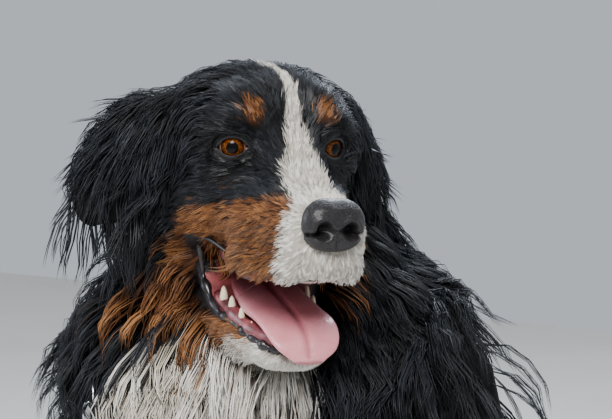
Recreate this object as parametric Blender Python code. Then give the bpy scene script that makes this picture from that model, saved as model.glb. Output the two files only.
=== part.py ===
"""A Bernese mountain dog, sitting and looking to its left with an open mouth, at life size.

The dog faces -Y, +Z is up and +X is the dog's left. Flesh is lofted through stations of named
sizes, fused and smoothed into one body, given tapered locks along the lie of the coat, and parted
by thin cuts into the nodes that a person would name. Sizes are in metres.
"""

import math
import random

import bmesh
import bpy
import numpy as np
from mathutils import Matrix, Vector
from mathutils.bvhtree import BVHTree

GAP = 0.0003
MM = 0.001
SHORTEST_EDGE = 0.00001
CORE_SHARE = 0.4
FLOOR = 0.0

BODY_VOXEL = 0.010
HEAD_VOXEL = 0.0035
BODY_TRIANGLES = 1500
HEAD_TRIANGLES = 1600
COAT_SEED = 3

HEAD_PLACE = Vector((0.080, -0.163, 0.812))
HEAD_YAW = math.radians(54.0)
HEAD_PITCH = math.radians(4.5)
HEAD_ROLL = math.radians(3.0)

EYE_RADIUS = 12.0 * MM
EYE_PLACE = Vector((35.0, 6.0, 0.0)) * MM
EYE_TURN_OUT = math.radians(24.0)
EYE_OPENING = (27.0 * MM, 17.5 * MM)
LID_THICKNESS = 2.4 * MM

BLACK = (0.016, 0.015, 0.017)
WHITE = (0.86, 0.84, 0.80)
TAN = (0.36, 0.15, 0.045)
NOSE_BLACK = (0.035, 0.032, 0.036)
TONGUE_PINK = (0.76, 0.33, 0.36)
IRIS_AMBER = (0.20, 0.07, 0.015)
STRAP_BLACK = (0.03, 0.03, 0.035)
STEEL = (0.80, 0.82, 0.84)

# Stations of the body: x, y, z of the centre, half width, half depth, depth of the coat.
TORSO = [
    (0, -0.150, 0.535, 0.048, 0.052, 0.045),
    (0, -0.124, 0.527, 0.098, 0.096, 0.048),
    (0, -0.070, 0.512, 0.130, 0.132, 0.045),
    (0, 0.006, 0.478, 0.144, 0.150, 0.040),
    (0, 0.082, 0.420, 0.146, 0.146, 0.036),
    (0, 0.146, 0.346, 0.140, 0.134, 0.036),
    (0, 0.194, 0.262, 0.132, 0.124, 0.038),
    (0, 0.216, 0.178, 0.124, 0.116, 0.040),
    (0, 0.224, 0.106, 0.108, 0.104, 0.034),
    (0, 0.228, 0.058, 0.072, 0.072, 0.020),
]
NECK = [
    (0, -0.030, 0.550, 0.098, 0.084, 0.045),
    (0, -0.056, 0.610, 0.120, 0.106, 0.055),
    (0, -0.064, 0.672, 0.106, 0.104, 0.060),
    (0, -0.070, 0.728, 0.086, 0.088, 0.052),
    (0.002, -0.084, 0.780, 0.064, 0.068, 0.030),
    (0.008, -0.100, 0.818, 0.040, 0.044, 0.012),
]
SHOULDER = [
    (0.088, 0.036, 0.628, 0.050, 0.060, 0.050),
    (0.110, -0.018, 0.574, 0.064, 0.090, 0.052),
    (0.118, -0.068, 0.494, 0.060, 0.090, 0.044),
    (0.113, -0.062, 0.410, 0.050, 0.070, 0.030),
    (0.106, -0.038, 0.345, 0.036, 0.048, 0.018),
]
FORELEG = [
    (0.104, -0.022, 0.390, 0.040, 0.054, 0.020),
    (0.102, -0.034, 0.335, 0.036, 0.045, 0.018),
    (0.098, -0.054, 0.250, 0.031, 0.036, 0.013),
    (0.094, -0.074, 0.170, 0.027, 0.029, 0.010),
    (0.092, -0.084, 0.125, 0.029, 0.030, 0.009),
    (0.091, -0.091, 0.080, 0.027, 0.027, 0.009),
    (0.091, -0.097, 0.040, 0.028, 0.028, 0.008),
]
THIGH = [
    (0.066, 0.272, 0.215, 0.040, 0.060, 0.030),
    (0.092, 0.218, 0.222, 0.062, 0.100, 0.038),
    (0.120, 0.150, 0.216, 0.064, 0.108, 0.038),
    (0.142, 0.094, 0.200, 0.055, 0.088, 0.030),
    (0.154, 0.048, 0.180, 0.042, 0.062, 0.020),
    (0.160, 0.024, 0.168, 0.024, 0.036, 0.015),
]
SHANK = [
    (0.158, 0.040, 0.170, 0.034, 0.044, 0.016),
    (0.157, 0.074, 0.138, 0.041, 0.054, 0.018),
    (0.150, 0.120, 0.098, 0.038, 0.050, 0.018),
    (0.146, 0.182, 0.068, 0.029, 0.036, 0.016),
    (0.142, 0.226, 0.050, 0.025, 0.030, 0.014),
    (0.141, 0.250, 0.042, 0.014, 0.016, 0.010),
]
HIND_FOOT = [
    (0.141, 0.244, 0.036, 0.018, 0.022, 0.008),
    (0.143, 0.220, 0.031, 0.025, 0.029, 0.009),
    (0.152, 0.150, 0.029, 0.026, 0.027, 0.008),
    (0.162, 0.085, 0.029, 0.029, 0.026, 0.007),
    (0.166, 0.048, 0.029, 0.029, 0.024, 0.006),
]
TAIL = [
    (0.000, 0.262, 0.135, 0.036, 0.036, 0.030),
    (0.004, 0.322, 0.094, 0.034, 0.032, 0.040),
    (0.024, 0.382, 0.062, 0.031, 0.027, 0.052),
    (0.072, 0.434, 0.050, 0.028, 0.022, 0.058),
    (0.136, 0.460, 0.046, 0.024, 0.019, 0.058),
    (0.200, 0.458, 0.040, 0.017, 0.014, 0.050),
    (0.242, 0.446, 0.032, 0.006, 0.005, 0.032),
]
HEAD_CELL = [((0, 86, 0), (0, 0.953, -0.303)), ((0, 0, -163), (0, 0, -1))]
JAW_CELL = [((0, 0, -95), (0, -0.339, 0.941))]
TAG_PLACE = (-0.075, -0.180, 0.628)
TAG_TURN = math.radians(40.0)
FORE_PAW = (0.091, -0.104)
HIND_PAW = (0.167, 0.046)
TOES = ((-0.031, 0.034), (-0.011, 0.052), (0.011, 0.052), (0.031, 0.034))

# Stations of the head, in millimetres from the point between the eyes: y, z, half width,
# height above, depth below.
CRANIUM = [
    (124, -2, 22, 22, 30),
    (108, 0, 46, 36, 48),
    (80, 2, 63, 48, 62),
    (48, 3, 69, 52, 66),
    (18, 2, 66, 52, 60),
    (2, 3, 58, 46, 54),
    (-8, 6, 46, 34, 42),
    (-14, 10, 30, 20, 26),
]
BRIDGE = [
    (14, 4, 34, 38, 34),
    (-8, 1, 30, 30, 32),
    (-26, -8, 26, 17, 28),
    (-46, -18, 25, 6, 24),
    (-64, -28, 16, 4, 12),
]
MUZZLE = [
    (34, -38, 54, 30, 30),
    (6, -40, 51, 30, 36),
    (-20, -42, 45, 30, 42),
    (-45, -45, 39, 30, 46),
    (-70, -47, 36, 28, 39),
    (-88, -48, 33, 26, 33),
    (-99, -49, 28, 21, 27),
    (-106, -51, 17, 12, 17),
]
JAW = [
    (68, -62, 46, 22, 32),
    (42, -92, 46, 14, 34),
    (14, -117, 43, 7, 33),
    (-14, -123, 37, 5, 30),
    (-38, -128, 32, 4, 26),
    (-54, -131, 26, 3, 21),
    (-66, -134, 15, 2, 12),
]
MOUTH = [
    (44, -80, 16, 8, 12),
    (20, -84, 30, 16, 22),
    (-10, -90, 28, 22, 30),
    (-40, -94, 24, 22, 34),
    (-66, -92, 19, 16, 24),
    (-84, -90, 8, 8, 10),
]
TONGUE = [
    (36, -97, 17, 4, 6),
    (14, -105, 25, 5, 7),
    (-16, -111, 28.5, 6, 7),
    (-42, -115, 29, 5, 6.5),
    (-62, -120, 28, 4.5, 6),
    (-75, -128, 23, 4, 5),
    (-80, -136, 12, 3, 4),
]
NOSE = [
    (-92, -35, 17, 14, 14),
    (-100, -35, 22.5, 18, 19),
    (-107, -36, 22, 17, 18),
    (-112, -37, 17, 13, 14),
    (-114, -38, 9, 7, 8),
]
# Stations of the left ear: x, y, z of the middle line, half width, half thickness, curl of the edges.
EAR = [
    (36, 60, 16, 20, 9, 2),
    (56, 61, 19, 32, 9, 4),
    (77, 64, 6, 40, 9, 7),
    (94, 68, -16, 44, 8, 9),
    (105, 73, -39, 42, 8, 9),
    (111, 76, -57, 34, 7, 7),
    (113, 78, -72, 20, 6, 3),
    (113, 78, -80, 7, 3, 1),
]


def clear_scene():
    """Empty the scene of whatever the startup file holds."""
    for thing in list(bpy.data.objects):
        bpy.data.objects.remove(thing, do_unlink=True)


def finish(name, colour, roughness=0.6, metallic=0.0):
    """A plain material in the part's colour."""
    made = bpy.data.materials.new(name)
    made.use_nodes = True
    shader = made.node_tree.nodes["Principled BSDF"]
    shader.inputs["Base Color"].default_value = (*colour, 1.0)
    shader.inputs["Roughness"].default_value = roughness
    shader.inputs["Metallic"].default_value = metallic
    return made


def through(rows, count):
    """Rows of numbers carried on a Catmull-Rom curve, with count steps in all."""
    rows = np.array(rows, float)
    padded = np.vstack([2 * rows[0] - rows[1], rows, 2 * rows[-1] - rows[-2]])
    at = np.linspace(0, len(rows) - 1, count)
    first = np.minimum(at.astype(int), len(rows) - 2)
    t = (at - first)[:, None]
    a, b, c, d = (padded[first + k] for k in range(4))
    return 0.5 * (2 * b + (c - a) * t + (2 * a - 5 * b + 4 * c - d) * t**2 + (3 * b - a - 3 * c + d) * t**3)


def unit(vectors):
    """The vectors at length one."""
    return vectors / np.maximum(np.linalg.norm(vectors, axis=-1, keepdims=True), 1e-12)


def closed_tube(rings):
    """Points and faces of rings of points joined into one closed shape, with a pole at each end."""
    count, sides = rings.shape[:2]
    points = np.vstack([rings.reshape(-1, 3), rings[0].mean(0), rings[-1].mean(0)])
    faces = []
    for ring in range(count - 1):
        for side in range(sides):
            a = ring * sides + side
            b = ring * sides + (side + 1) % sides
            faces.append((a, b, b + sides, a + sides))
    last = (count - 1) * sides
    for side in range(sides):
        after = (side + 1) % sides
        faces.append((after, side, count * sides))
        faces.append((last + side, last + after, count * sides + 1))
    return points, faces


def loft(rows, coat_share=0.0, steps=30, sides=28, mirror=1):
    """A limb or trunk: ellipses on the smooth line through its stations, square to that line."""
    rows = through(rows, steps)
    rows[:, 0] *= mirror
    along = unit(np.gradient(rows[:, :3], axis=0))
    side = unit(np.array([1.0, 0, 0]) - along * along[:, :1])
    deep = np.cross(along, side)
    wide = (np.maximum(rows[:, 3], 0.003) + coat_share * rows[:, 5])[:, None, None]
    thick = (np.maximum(rows[:, 4], 0.003) + coat_share * rows[:, 5])[:, None, None]
    turn = np.linspace(0, 2 * math.pi, sides, endpoint=False)[None, :, None]
    rings = rows[:, None, :3] + wide * np.cos(turn) * side[:, None] + thick * np.sin(turn) * deep[:, None]
    return closed_tube(rings)


def head_loft(rows, squareness=2.0, steps=26, sides=32):
    """A part of the head: upright super-ellipses carried from back to front."""
    rows = through(rows, steps) * MM
    turn = np.linspace(0, 2 * math.pi, sides, endpoint=False)[None, :]
    across = np.sign(np.cos(turn)) * np.abs(np.cos(turn)) ** (2 / squareness)
    up = np.sign(np.sin(turn)) * np.abs(np.sin(turn)) ** (2 / squareness)
    height = np.where(up > 0, rows[:, 3:4], rows[:, 4:5])
    rings = np.stack(
        [rows[:, 2:3] * across, np.repeat(rows[:, :1], sides, axis=1), rows[:, 1:2] + height * up], axis=-1
    )
    return closed_tube(rings)


def ellipsoid(centre, radii, steps=12, sides=20):
    """A closed ellipsoid with its poles along Y."""
    lat = np.linspace(-math.pi / 2, math.pi / 2, steps + 2)[1:-1, None]
    turn = np.linspace(0, 2 * math.pi, sides, endpoint=False)[None, :]
    rings = np.stack(
        [np.cos(lat) * np.cos(turn), np.repeat(np.sin(lat), sides, axis=1), np.cos(lat) * np.sin(turn)], axis=-1
    )
    points, faces = closed_tube(rings)
    points[-2:] = [[0, -1, 0], [0, 1, 0]]
    return points * np.array(radii) + np.array(centre), faces


def both_sides(shape, centre, *rest, **options):
    """A shape made on the left and again on the right."""
    return [shape((side * centre[0], *centre[1:]), *rest, **options) for side in (1, -1)]


def spike(base, tip, radius, sides=6):
    """A closed blunt cone from a round base to its tip."""
    base, tip = np.array(base, float), np.array(tip, float)
    along = unit(tip - base)
    first = unit(np.cross(along, [0.31, 0.87, 0.38]))
    second = np.cross(along, first)
    turn = np.linspace(0, 2 * math.pi, sides, endpoint=False)[:, None]
    ring = radius * (np.cos(turn) * first + np.sin(turn) * second)
    shoulder = base + 0.70 * (tip - base)
    points, faces = closed_tube(np.stack([base + ring, shoulder + 0.66 * ring]))
    points[-1] = tip
    return points, faces


def tube(line, radius, sides=8):
    """A round closed tube carried along a closed line of points."""
    line = np.array(line, float)
    along = unit(np.roll(line, -1, axis=0) - np.roll(line, 1, axis=0))
    normal = unit(np.cross(along, np.mean(line, axis=0) - line))
    across = np.cross(along, normal)
    turn = np.linspace(0, 2 * math.pi, sides, endpoint=False)[None, :, None]
    rings = line[:, None] + radius * (np.cos(turn) * across[:, None] + np.sin(turn) * normal[:, None])
    count = len(line)
    faces = []
    for ring in range(count):
        for side in range(sides):
            after, beside = (ring + 1) % count * sides, (side + 1) % sides
            faces.append((ring * sides + side, ring * sides + beside, after + beside, after + side))
    return rings.reshape(-1, 3), faces


def placed(shape, matrix):
    """A closed shape moved by a matrix."""
    points, faces = shape
    turn = np.array(matrix.to_3x3())
    return points @ turn.T + np.array(matrix.translation), faces


def mesh_object(name, shapes):
    """One object from several closed shapes, each with its faces pointing out."""
    kit = bmesh.new()
    for points, faces in shapes:
        made = [kit.verts.new(p) for p in points]
        for face in faces:
            kit.faces.new([made[i] for i in face])
    bmesh.ops.recalc_face_normals(kit, faces=kit.faces)
    bmesh.ops.triangulate(kit, faces=kit.faces)
    mesh = bpy.data.meshes.new(name)
    kit.to_mesh(mesh)
    kit.free()
    thing = bpy.data.objects.new(name, mesh)
    bpy.context.scene.collection.objects.link(thing)
    return thing


def apply_all(thing):
    """Put the object's evaluated mesh in place of its own."""
    graph = bpy.context.evaluated_depsgraph_get()
    graph.update()
    mesh = bpy.data.meshes.new_from_object(thing.evaluated_get(graph))
    thing.modifiers.clear()
    thing.data = mesh
    return thing


def remove(*things):
    """Take objects out of the scene."""
    for thing in things:
        bpy.data.objects.remove(thing, do_unlink=True)


def fused(thing, voxel, triangles, smoothing=4):
    """Overlapping shapes fused into one skin, smoothed, and thinned to a number of triangles."""
    remesh = thing.modifiers.new("Fuse", "REMESH")
    remesh.mode = "VOXEL"
    remesh.voxel_size = voxel
    smooth = thing.modifiers.new("Smooth", "SMOOTH")
    smooth.factor = 0.5
    smooth.iterations = smoothing
    apply_all(thing)
    thin = thing.modifiers.new("Thin", "DECIMATE")
    thin.ratio = min(1.0, triangles / (2 * len(thing.data.polygons)))
    thin.use_collapse_triangulate = True
    return apply_all(thing)


def tidied(thing):
    """The object's largest closed surface, in triangles and without slivers."""
    kit = bmesh.new()
    kit.from_mesh(thing.data)
    bmesh.ops.triangulate(kit, faces=kit.faces, ngon_method="BEAUTY")
    bmesh.ops.dissolve_degenerate(kit, edges=kit.edges, dist=SHORTEST_EDGE)
    seen, folded = {}, []
    for face in kit.faces:
        corners = frozenset(face.verts)
        if corners in seen:
            folded += [face, seen.pop(corners)]
        else:
            seen[corners] = face
    bmesh.ops.delete(kit, geom=folded, context="FACES")
    left, shells = set(kit.faces), []
    while left:
        front, shell = [left.pop()], []
        while front:
            face = front.pop()
            shell.append(face)
            for edge in face.edges:
                for other in edge.link_faces:
                    if other in left:
                        left.remove(other)
                        front.append(other)
        shells.append(shell)
    shells.sort(key=len, reverse=True)
    bmesh.ops.delete(kit, geom=[face for shell in shells[1:] for face in shell], context="FACES")
    mesh = bpy.data.meshes.new(thing.name)
    kit.to_mesh(mesh)
    kit.free()
    thing.data = mesh
    return thing


def combine(thing, other, operation, solver="EXACT"):
    """A Boolean of two objects, applied to the first; the second is used up."""
    cut = thing.modifiers.new(operation.title(), "BOOLEAN")
    cut.operation = operation
    cut.solver = solver
    cut.object = other
    apply_all(thing)
    remove(other)
    return thing


def grown(thing, distance):
    """A copy of an object with its skin moved out by a distance."""
    copy = bpy.data.objects.new(thing.name + "_grown", thing.data.copy())
    bpy.context.scene.collection.objects.link(copy)
    push = copy.modifiers.new("Push", "DISPLACE")
    push.strength = distance
    push.mid_level = 0.0
    return apply_all(copy)


def duplicate(thing, name):
    """A second object with a copy of the first one's mesh."""
    copy = bpy.data.objects.new(name, thing.data.copy())
    bpy.context.scene.collection.objects.link(copy)
    return copy


def cell(planes, grow):
    """A convex block bounded by planes, each a point and a normal that points out of the block."""
    kit = bmesh.new()
    bmesh.ops.create_cube(kit, size=4.0)
    for point, normal in planes:
        normal = Vector(normal).normalized()
        bmesh.ops.bisect_plane(
            kit,
            geom=kit.verts[:] + kit.edges[:] + kit.faces[:],
            plane_co=Vector(point) + normal * grow,
            plane_no=normal,
            clear_outer=True,
        )
        corners = [vert.co.copy() for vert in kit.verts]
        kit.clear()
        bmesh.ops.convex_hull(kit, input=[kit.verts.new(corner) for corner in corners])
        bmesh.ops.dissolve_limit(kit, angle_limit=0.001, verts=kit.verts, edges=kit.edges)
    bmesh.ops.recalc_face_normals(kit, faces=kit.faces)
    mesh = bpy.data.meshes.new("cell")
    kit.to_mesh(mesh)
    kit.free()
    block = bpy.data.objects.new("cell", mesh)
    bpy.context.scene.collection.objects.link(block)
    return block


def parted(whole, name, planes, solver="MANIFOLD"):
    """Part a node from the whole along a thin cut; the whole keeps the rest."""
    node = duplicate(whole, name)
    combine(node, cell(planes, 0.0), "INTERSECT", solver)
    combine(whole, cell(planes, GAP), "DIFFERENCE", solver)
    return node


def head_matrix():
    """Where the head's own axes stand in the dog: turned to its left, tipped down and rolled."""
    turn = Matrix.Rotation(HEAD_YAW, 4, "Z") @ Matrix.Rotation(HEAD_PITCH, 4, "X")
    return Matrix.Translation(HEAD_PLACE) @ turn @ Matrix.Rotation(HEAD_ROLL, 4, "Y")


def in_head(planes):
    """Planes in the head's millimetres carried into the dog."""
    matrix = head_matrix()
    return [(matrix @ (Vector(point) * MM), matrix.to_3x3() @ Vector(normal)) for point, normal in planes]


def body_shapes():
    """The closed shapes of the trunk, neck, legs and tail."""
    shapes = [loft(TORSO, CORE_SHARE, 34, 36), loft(NECK, CORE_SHARE, 26, 32), loft(TAIL, CORE_SHARE, 34, 20)]
    for side in (1, -1):
        shapes.append(loft(SHOULDER, CORE_SHARE, 24, 24, side))
        shapes.append(loft(THIGH, CORE_SHARE, 26, 28, side))
        shapes.append(loft(FORELEG, 1.0, 26, 20, side))
        shapes.append(loft(SHANK, 1.0, 24, 20, side))
        shapes.append(loft(HIND_FOOT, 1.0, 20, 20, side))
        shapes += paw(side, *FORE_PAW)
        shapes += paw(side, *HIND_PAW)
    return shapes


def paw(side, x, y):
    """Four arched toes before a broad pad, with the middle two foremost."""
    shapes = [ellipsoid((side * x, y - 0.012, 0.028), (0.041, 0.046, 0.033))]
    for place, ahead in TOES:
        shapes.append(ellipsoid((side * (x + place), y - ahead, 0.021), (0.0165, 0.030, 0.025)))
    return shapes


def claws(side, x, y):
    """A short blunt claw at the tip of each toe."""
    shapes = []
    for place, ahead in TOES:
        base = (side * (x + place), y - ahead - 0.020, 0.020)
        tip = (side * (x + place * 1.02), y - ahead - 0.037, 0.005)
        shapes.append(spike(base, tip, 0.0056))
    return shapes


def head_shapes():
    """The closed shapes of the skull, muzzle, lips and cheeks, in the head's own frame."""
    shapes = [head_loft(CRANIUM), head_loft(BRIDGE, 2.2), head_loft(MUZZLE, 2.5), head_loft(JAW, 2.4)]
    shapes += both_sides(ellipsoid, (31 * MM, -1 * MM, 21 * MM), (21 * MM, 15 * MM, 12 * MM))
    shapes += both_sides(ellipsoid, (44 * MM, 54 * MM, -40 * MM), (24 * MM, 52 * MM, 46 * MM))
    shapes += both_sides(ellipsoid, (40 * MM, 78 * MM, -88 * MM), (24 * MM, 34 * MM, 44 * MM))
    shapes += both_sides(ellipsoid, (47 * MM, 14 * MM, -14 * MM), (16 * MM, 15 * MM, 15 * MM))
    shapes += both_sides(ellipsoid, (34 * MM, -38 * MM, -74 * MM), (13 * MM, 36 * MM, 16 * MM))
    shapes += both_sides(ellipsoid, (22 * MM, -74 * MM, -70 * MM), (16 * MM, 24 * MM, 16 * MM))
    shapes.append(ellipsoid((0, 78 * MM, -52 * MM), (56 * MM, 50 * MM, 56 * MM)))
    return shapes


def eye_frame(side):
    """The eye's own axes in the head: its gaze is -Y, turned out to the side."""
    place = Matrix.Translation((side * EYE_PLACE.x, EYE_PLACE.y, EYE_PLACE.z))
    return head_matrix() @ place @ Matrix.Rotation(side * EYE_TURN_OUT, 4, "Z")


def almond():
    """A block through the eyelids: two arcs that meet at the corners of the eye, seen along the gaze."""
    width, height = EYE_OPENING[0] / 2, EYE_OPENING[1] / 2
    across = np.linspace(-1, 1, 11)
    upper = height * (1 - np.abs(across) ** 2.2)
    lower = -0.86 * height * (1 - np.abs(across) ** 2.4)
    xs = np.concatenate([across, across[-2:0:-1]]) * width
    zs = np.concatenate([upper, lower[-2:0:-1]])
    near = np.stack([xs, np.full(len(xs), -0.006), zs], axis=-1)
    far = near + np.array([0, -0.030, 0])
    return closed_tube(np.stack([near, far]))


def teeth(rows):
    """Cones on both sides of a jaw: across, forward, root height, tip height and radius in millimetres."""
    shapes = []
    for x, y, root, tip, radius in rows:
        for side in (1, -1):
            lean = side * (x + (1.5 if abs(tip - root) > 16 else 0.4))
            shapes.append(spike((side * x * MM, y * MM, root * MM), (lean * MM, (y - 1) * MM, tip * MM), radius * MM))
    return shapes


UPPER_TEETH = ((20, -76, -72, -93, 5.6), (26, -56, -72, -87, 5.4), (28, -42, -72, -87, 5.8), (29, -26, -72, -88, 6.4))
LOWER_TEETH = (
    (17, -52, -140, -112, 5.4),
    (25, -34, -136, -120, 5.0),
    (28, -20, -132, -111, 5.8),
    (30, -5, -128, -106, 6.4),
    (31, 10, -122, -101, 6.4),
)


def ear_shape(side):
    """A hanging ear: a leaf carried out from the skull and down, its edges curled in to a shallow cup."""
    rows = through(EAR, 13) * MM
    rows[:, 0] *= side
    centres = rows[:, :3]
    along = unit(np.gradient(centres, axis=0))
    chord = np.array([0.60 * side, 0.72, -0.36])
    chord = unit(chord - along * (along @ chord)[:, None])
    out = np.cross(along, chord) * side
    turn = np.linspace(0, 2 * math.pi, 12, endpoint=False)[None, :, None]
    width, thick, curl = (rows[:, k][:, None, None] for k in (3, 4, 5))
    lift = thick * np.sin(turn) - curl * np.cos(turn) ** 2
    return closed_tube(centres[:, None] + width * np.cos(turn) * chord[:, None] + lift * out[:, None])


class Comb:
    """Lays tapered locks on a skin, each from a root, along a flow, rising to a lift at its tip."""

    def __init__(self, skin, seed):
        self.tree = BVHTree.FromObject(skin, bpy.context.evaluated_depsgraph_get())
        self.dice = random.Random(seed)
        self.shapes = []
        self.keep_out = []

    def lock(self, root, flow, length, width, lift, depth=0.0038):
        """A lock of three lens-shaped rings and a point; left out where it would meet what the coat avoids."""
        flow = np.array(flow, float)
        point, normal, _, far = self.tree.find_nearest(Vector(root))
        if point is None or far > 0.022:
            return
        centre, line, normals = np.array(point), [], []
        steps = (0.0, 0.30, 0.64, 1.0)
        for share in steps:
            line.append(centre)
            normals.append(np.array(normal))
            flat = flow - normals[-1] * (flow @ normals[-1])
            ahead = centre + unit(flat) * length * 0.34
            point, normal, _, _ = self.tree.find_nearest(Vector(ahead))
            centre = np.array(point)
        rises = (-0.35 * depth, 0.5 * depth + 0.34 * lift, 0.5 * depth + 0.78 * lift, 0.80 * lift)
        line = np.array([p + n * r for p, n, r in zip(line, normals, rises)])
        if any(guard(p) for p in line for guard in self.keep_out):
            return
        along = unit(np.gradient(line, axis=0))
        normals = unit(np.array(normals) - along * np.sum(np.array(normals) * along, axis=1)[:, None])
        across = np.cross(along, normals)
        wide = np.array([0.72, 1.0, 0.74])[:, None] * width
        thick = np.array([1.0, 1.0, 0.75])[:, None] * depth
        rings = np.stack(
            [
                line[:3] + across[:3] * wide,
                line[:3] + normals[:3] * thick,
                line[:3] - across[:3] * wide,
                line[:3] - normals[:3] * thick,
            ],
            axis=1,
        )
        points = np.vstack([rings.reshape(-1, 3), line[0], line[3]])
        faces = [(k + i, k + (i + 1) % 4, k + 4 + (i + 1) % 4, k + 4 + i) for k in (0, 4) for i in range(4)]
        faces += [(i, (i + 1) % 4, 12)[::-1] for i in range(4)]
        faces += [(8 + i, 8 + (i + 1) % 4, 13) for i in range(4)]
        self.shapes.append((points, faces))

    def over(self, rows, share, side, steps, around, arc, length, width, lift, mix, reach=(0.0, 1.0)):
        """Locks in staggered rows over a loft, within an arc of its section, flowing by a mix of ways."""
        along_share, fall, out_share = mix
        line = through(rows, 60)
        line[:, 0] *= side
        ways = unit(np.gradient(line[:, :3], axis=0))
        for step in range(steps):
            at = reach[0] + (reach[1] - reach[0]) * (step + 0.5) / steps
            k = int(round(at * 59))
            x, way = line[k], ways[k]
            across = unit(np.array([1.0, 0, 0]) - way * way[0])
            deep = np.cross(way, across)
            for turn in range(around):
                part = (turn + 0.5 + 0.5 * (step % 2 - 0.5) + self.dice.uniform(-0.12, 0.12)) / around
                angle = math.radians(arc[0] + (arc[1] - arc[0]) * part)
                angle = angle if side > 0 else math.pi - angle
                out = math.cos(angle) * across + math.sin(angle) * deep
                reach_out = (x[3] + share * x[5]) * math.cos(angle) * across
                reach_out = reach_out + (x[4] + share * x[5]) * math.sin(angle) * deep
                flow = way * along_share + np.array([0, 0, -1.0]) * fall + out * out_share
                flow = flow + np.array([self.dice.uniform(-0.14, 0.14) for _ in range(3)])
                scale = self.dice.uniform(0.88, 1.14)
                slide = way * self.dice.uniform(-0.008, 0.008)
                rise = lift * x[5] * (1 - CORE_SHARE) * self.dice.uniform(0.85, 1.05)
                self.lock(x[:3] + reach_out + slide, flow, length * scale, width * scale, rise)


def near_points(points, distance):
    """A guard that is true for places nearer than a distance to any of some points."""
    points = np.array(points)

    def guard(place):
        return bool(np.min(np.linalg.norm(points - place, axis=1)) < distance)

    return guard


def near_skin(thing, distance):
    """A guard that is true for places nearer than a distance to an object's skin, or inside it."""
    tree = BVHTree.FromObject(thing, bpy.context.evaluated_depsgraph_get())

    def guard(place):
        point, normal, _, far = tree.find_nearest(Vector(place))
        return far < distance or (far < 0.02 and (Vector(place) - point).dot(normal) < -0.5 * far)

    return guard


def collar_line(skin, centre, normal, count=26):
    """A loop where a plane meets the neck, rounded off to the sweep of a strap."""
    tree = BVHTree.FromObject(skin, bpy.context.evaluated_depsgraph_get())
    normal = Vector(normal).normalized()
    first = normal.orthogonal().normalized()
    second = normal.cross(first)
    turns = np.linspace(0, 2 * math.pi, count, endpoint=False)
    spread = []
    for turn in turns:
        ray = first * math.cos(turn) + second * math.sin(turn)
        hit = tree.ray_cast(Vector(centre) + ray * 0.4, -ray)
        spread.append((hit[0] - Vector(centre)).length)
    spread = np.array(spread)
    for _ in range(6):
        spread = 0.5 * spread + 0.25 * (np.roll(spread, 1) + np.roll(spread, -1))
    rays = np.cos(turns)[:, None] * np.array(first) + np.sin(turns)[:, None] * np.array(second)
    return np.array(centre) + rays * spread[:, None]


def joined(thing, shapes, solver="MANIFOLD"):
    """Closed shapes joined to an object in one union."""
    pieces = bpy.data.collections.new("pieces")
    bpy.context.scene.collection.children.link(pieces)
    for shape in shapes:
        piece = mesh_object("piece", [shape])
        bpy.context.scene.collection.objects.unlink(piece)
        pieces.objects.link(piece)
    union = thing.modifiers.new("Join", "BOOLEAN")
    union.operation = "UNION"
    union.solver = solver
    union.operand_type = "COLLECTION"
    union.collection = pieces
    apply_all(thing)
    remove(*list(pieces.objects))
    bpy.data.collections.remove(pieces)
    return thing


def comb_body(skin, guards):
    """The long coat of the ruff, chest, trunk, thighs, forelegs and tail."""
    comb = Comb(skin, COAT_SEED)
    comb.keep_out = guards
    comb.over(NECK, CORE_SHARE, 1, 3, 9, (0, 360), 0.112, 0.029, 1.0, (-1.0, 0.35, 0.1), (0.14, 0.90))
    comb.over(TORSO, CORE_SHARE, 1, 3, 4, (15, 165), 0.100, 0.030, 1.0, (0.1, 1.0, 0.1), (0.02, 0.27))
    comb.over(TORSO, CORE_SHARE, 1, 5, 6, (172, 368), 0.146, 0.035, 1.0, (1.0, 0.15, 0.0), (0.15, 0.97))
    for side in (1, -1):
        comb.over(SHOULDER, CORE_SHARE, side, 3, 2, (-55, 65), 0.108, 0.033, 1.0, (0.5, 0.8, 0.0), (0.06, 0.76))
        comb.over(THIGH, CORE_SHARE, side, 3, 3, (-30, 90), 0.104, 0.026, 1.0, (-0.5, 1.0, 0.0), (0.04, 0.80))
        comb.over(FORELEG, 1.0, side, 3, 1, (240, 300), 0.074, 0.020, 2.4, (0.8, 0.3, 0.25), (0.20, 0.64))
    comb.over(TAIL, CORE_SHARE, 1, 4, 4, (0, 360), 0.092, 0.023, 1.0, (1.0, 0.0, 0.15), (0.22, 0.88))
    return comb.shapes


def comb_ear(side, ear):
    """Waved hair down the outer face of an ear and past its edge."""
    comb = Comb(ear, COAT_SEED + 5 + side)
    rows = through(EAR, 40)
    matrix = head_matrix()
    for at, spread in ((0.20, (-0.35, 0.55)), (0.42, (-0.7, 0.0, 0.7)), (0.64, (-0.7, 0.0, 0.7))):
        x = rows[int(at * 39)]
        for share in spread:
            root = Vector((side * (x[0] + 6 + 0.62 * share * x[3]), x[1] - 5 + 0.78 * share * x[3], x[2] + 2)) * MM
            flow = matrix.to_3x3() @ Vector((side * (0.8 - at + 0.2 * share), 0.30 * share, -0.35 - at))
            flow = flow + Vector([comb.dice.uniform(-0.1, 0.1) for _ in range(3)])
            comb.lock(matrix @ root, flow, 0.076, 0.017, 0.010 + 0.012 * at, 0.0036)
    return comb.shapes


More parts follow.
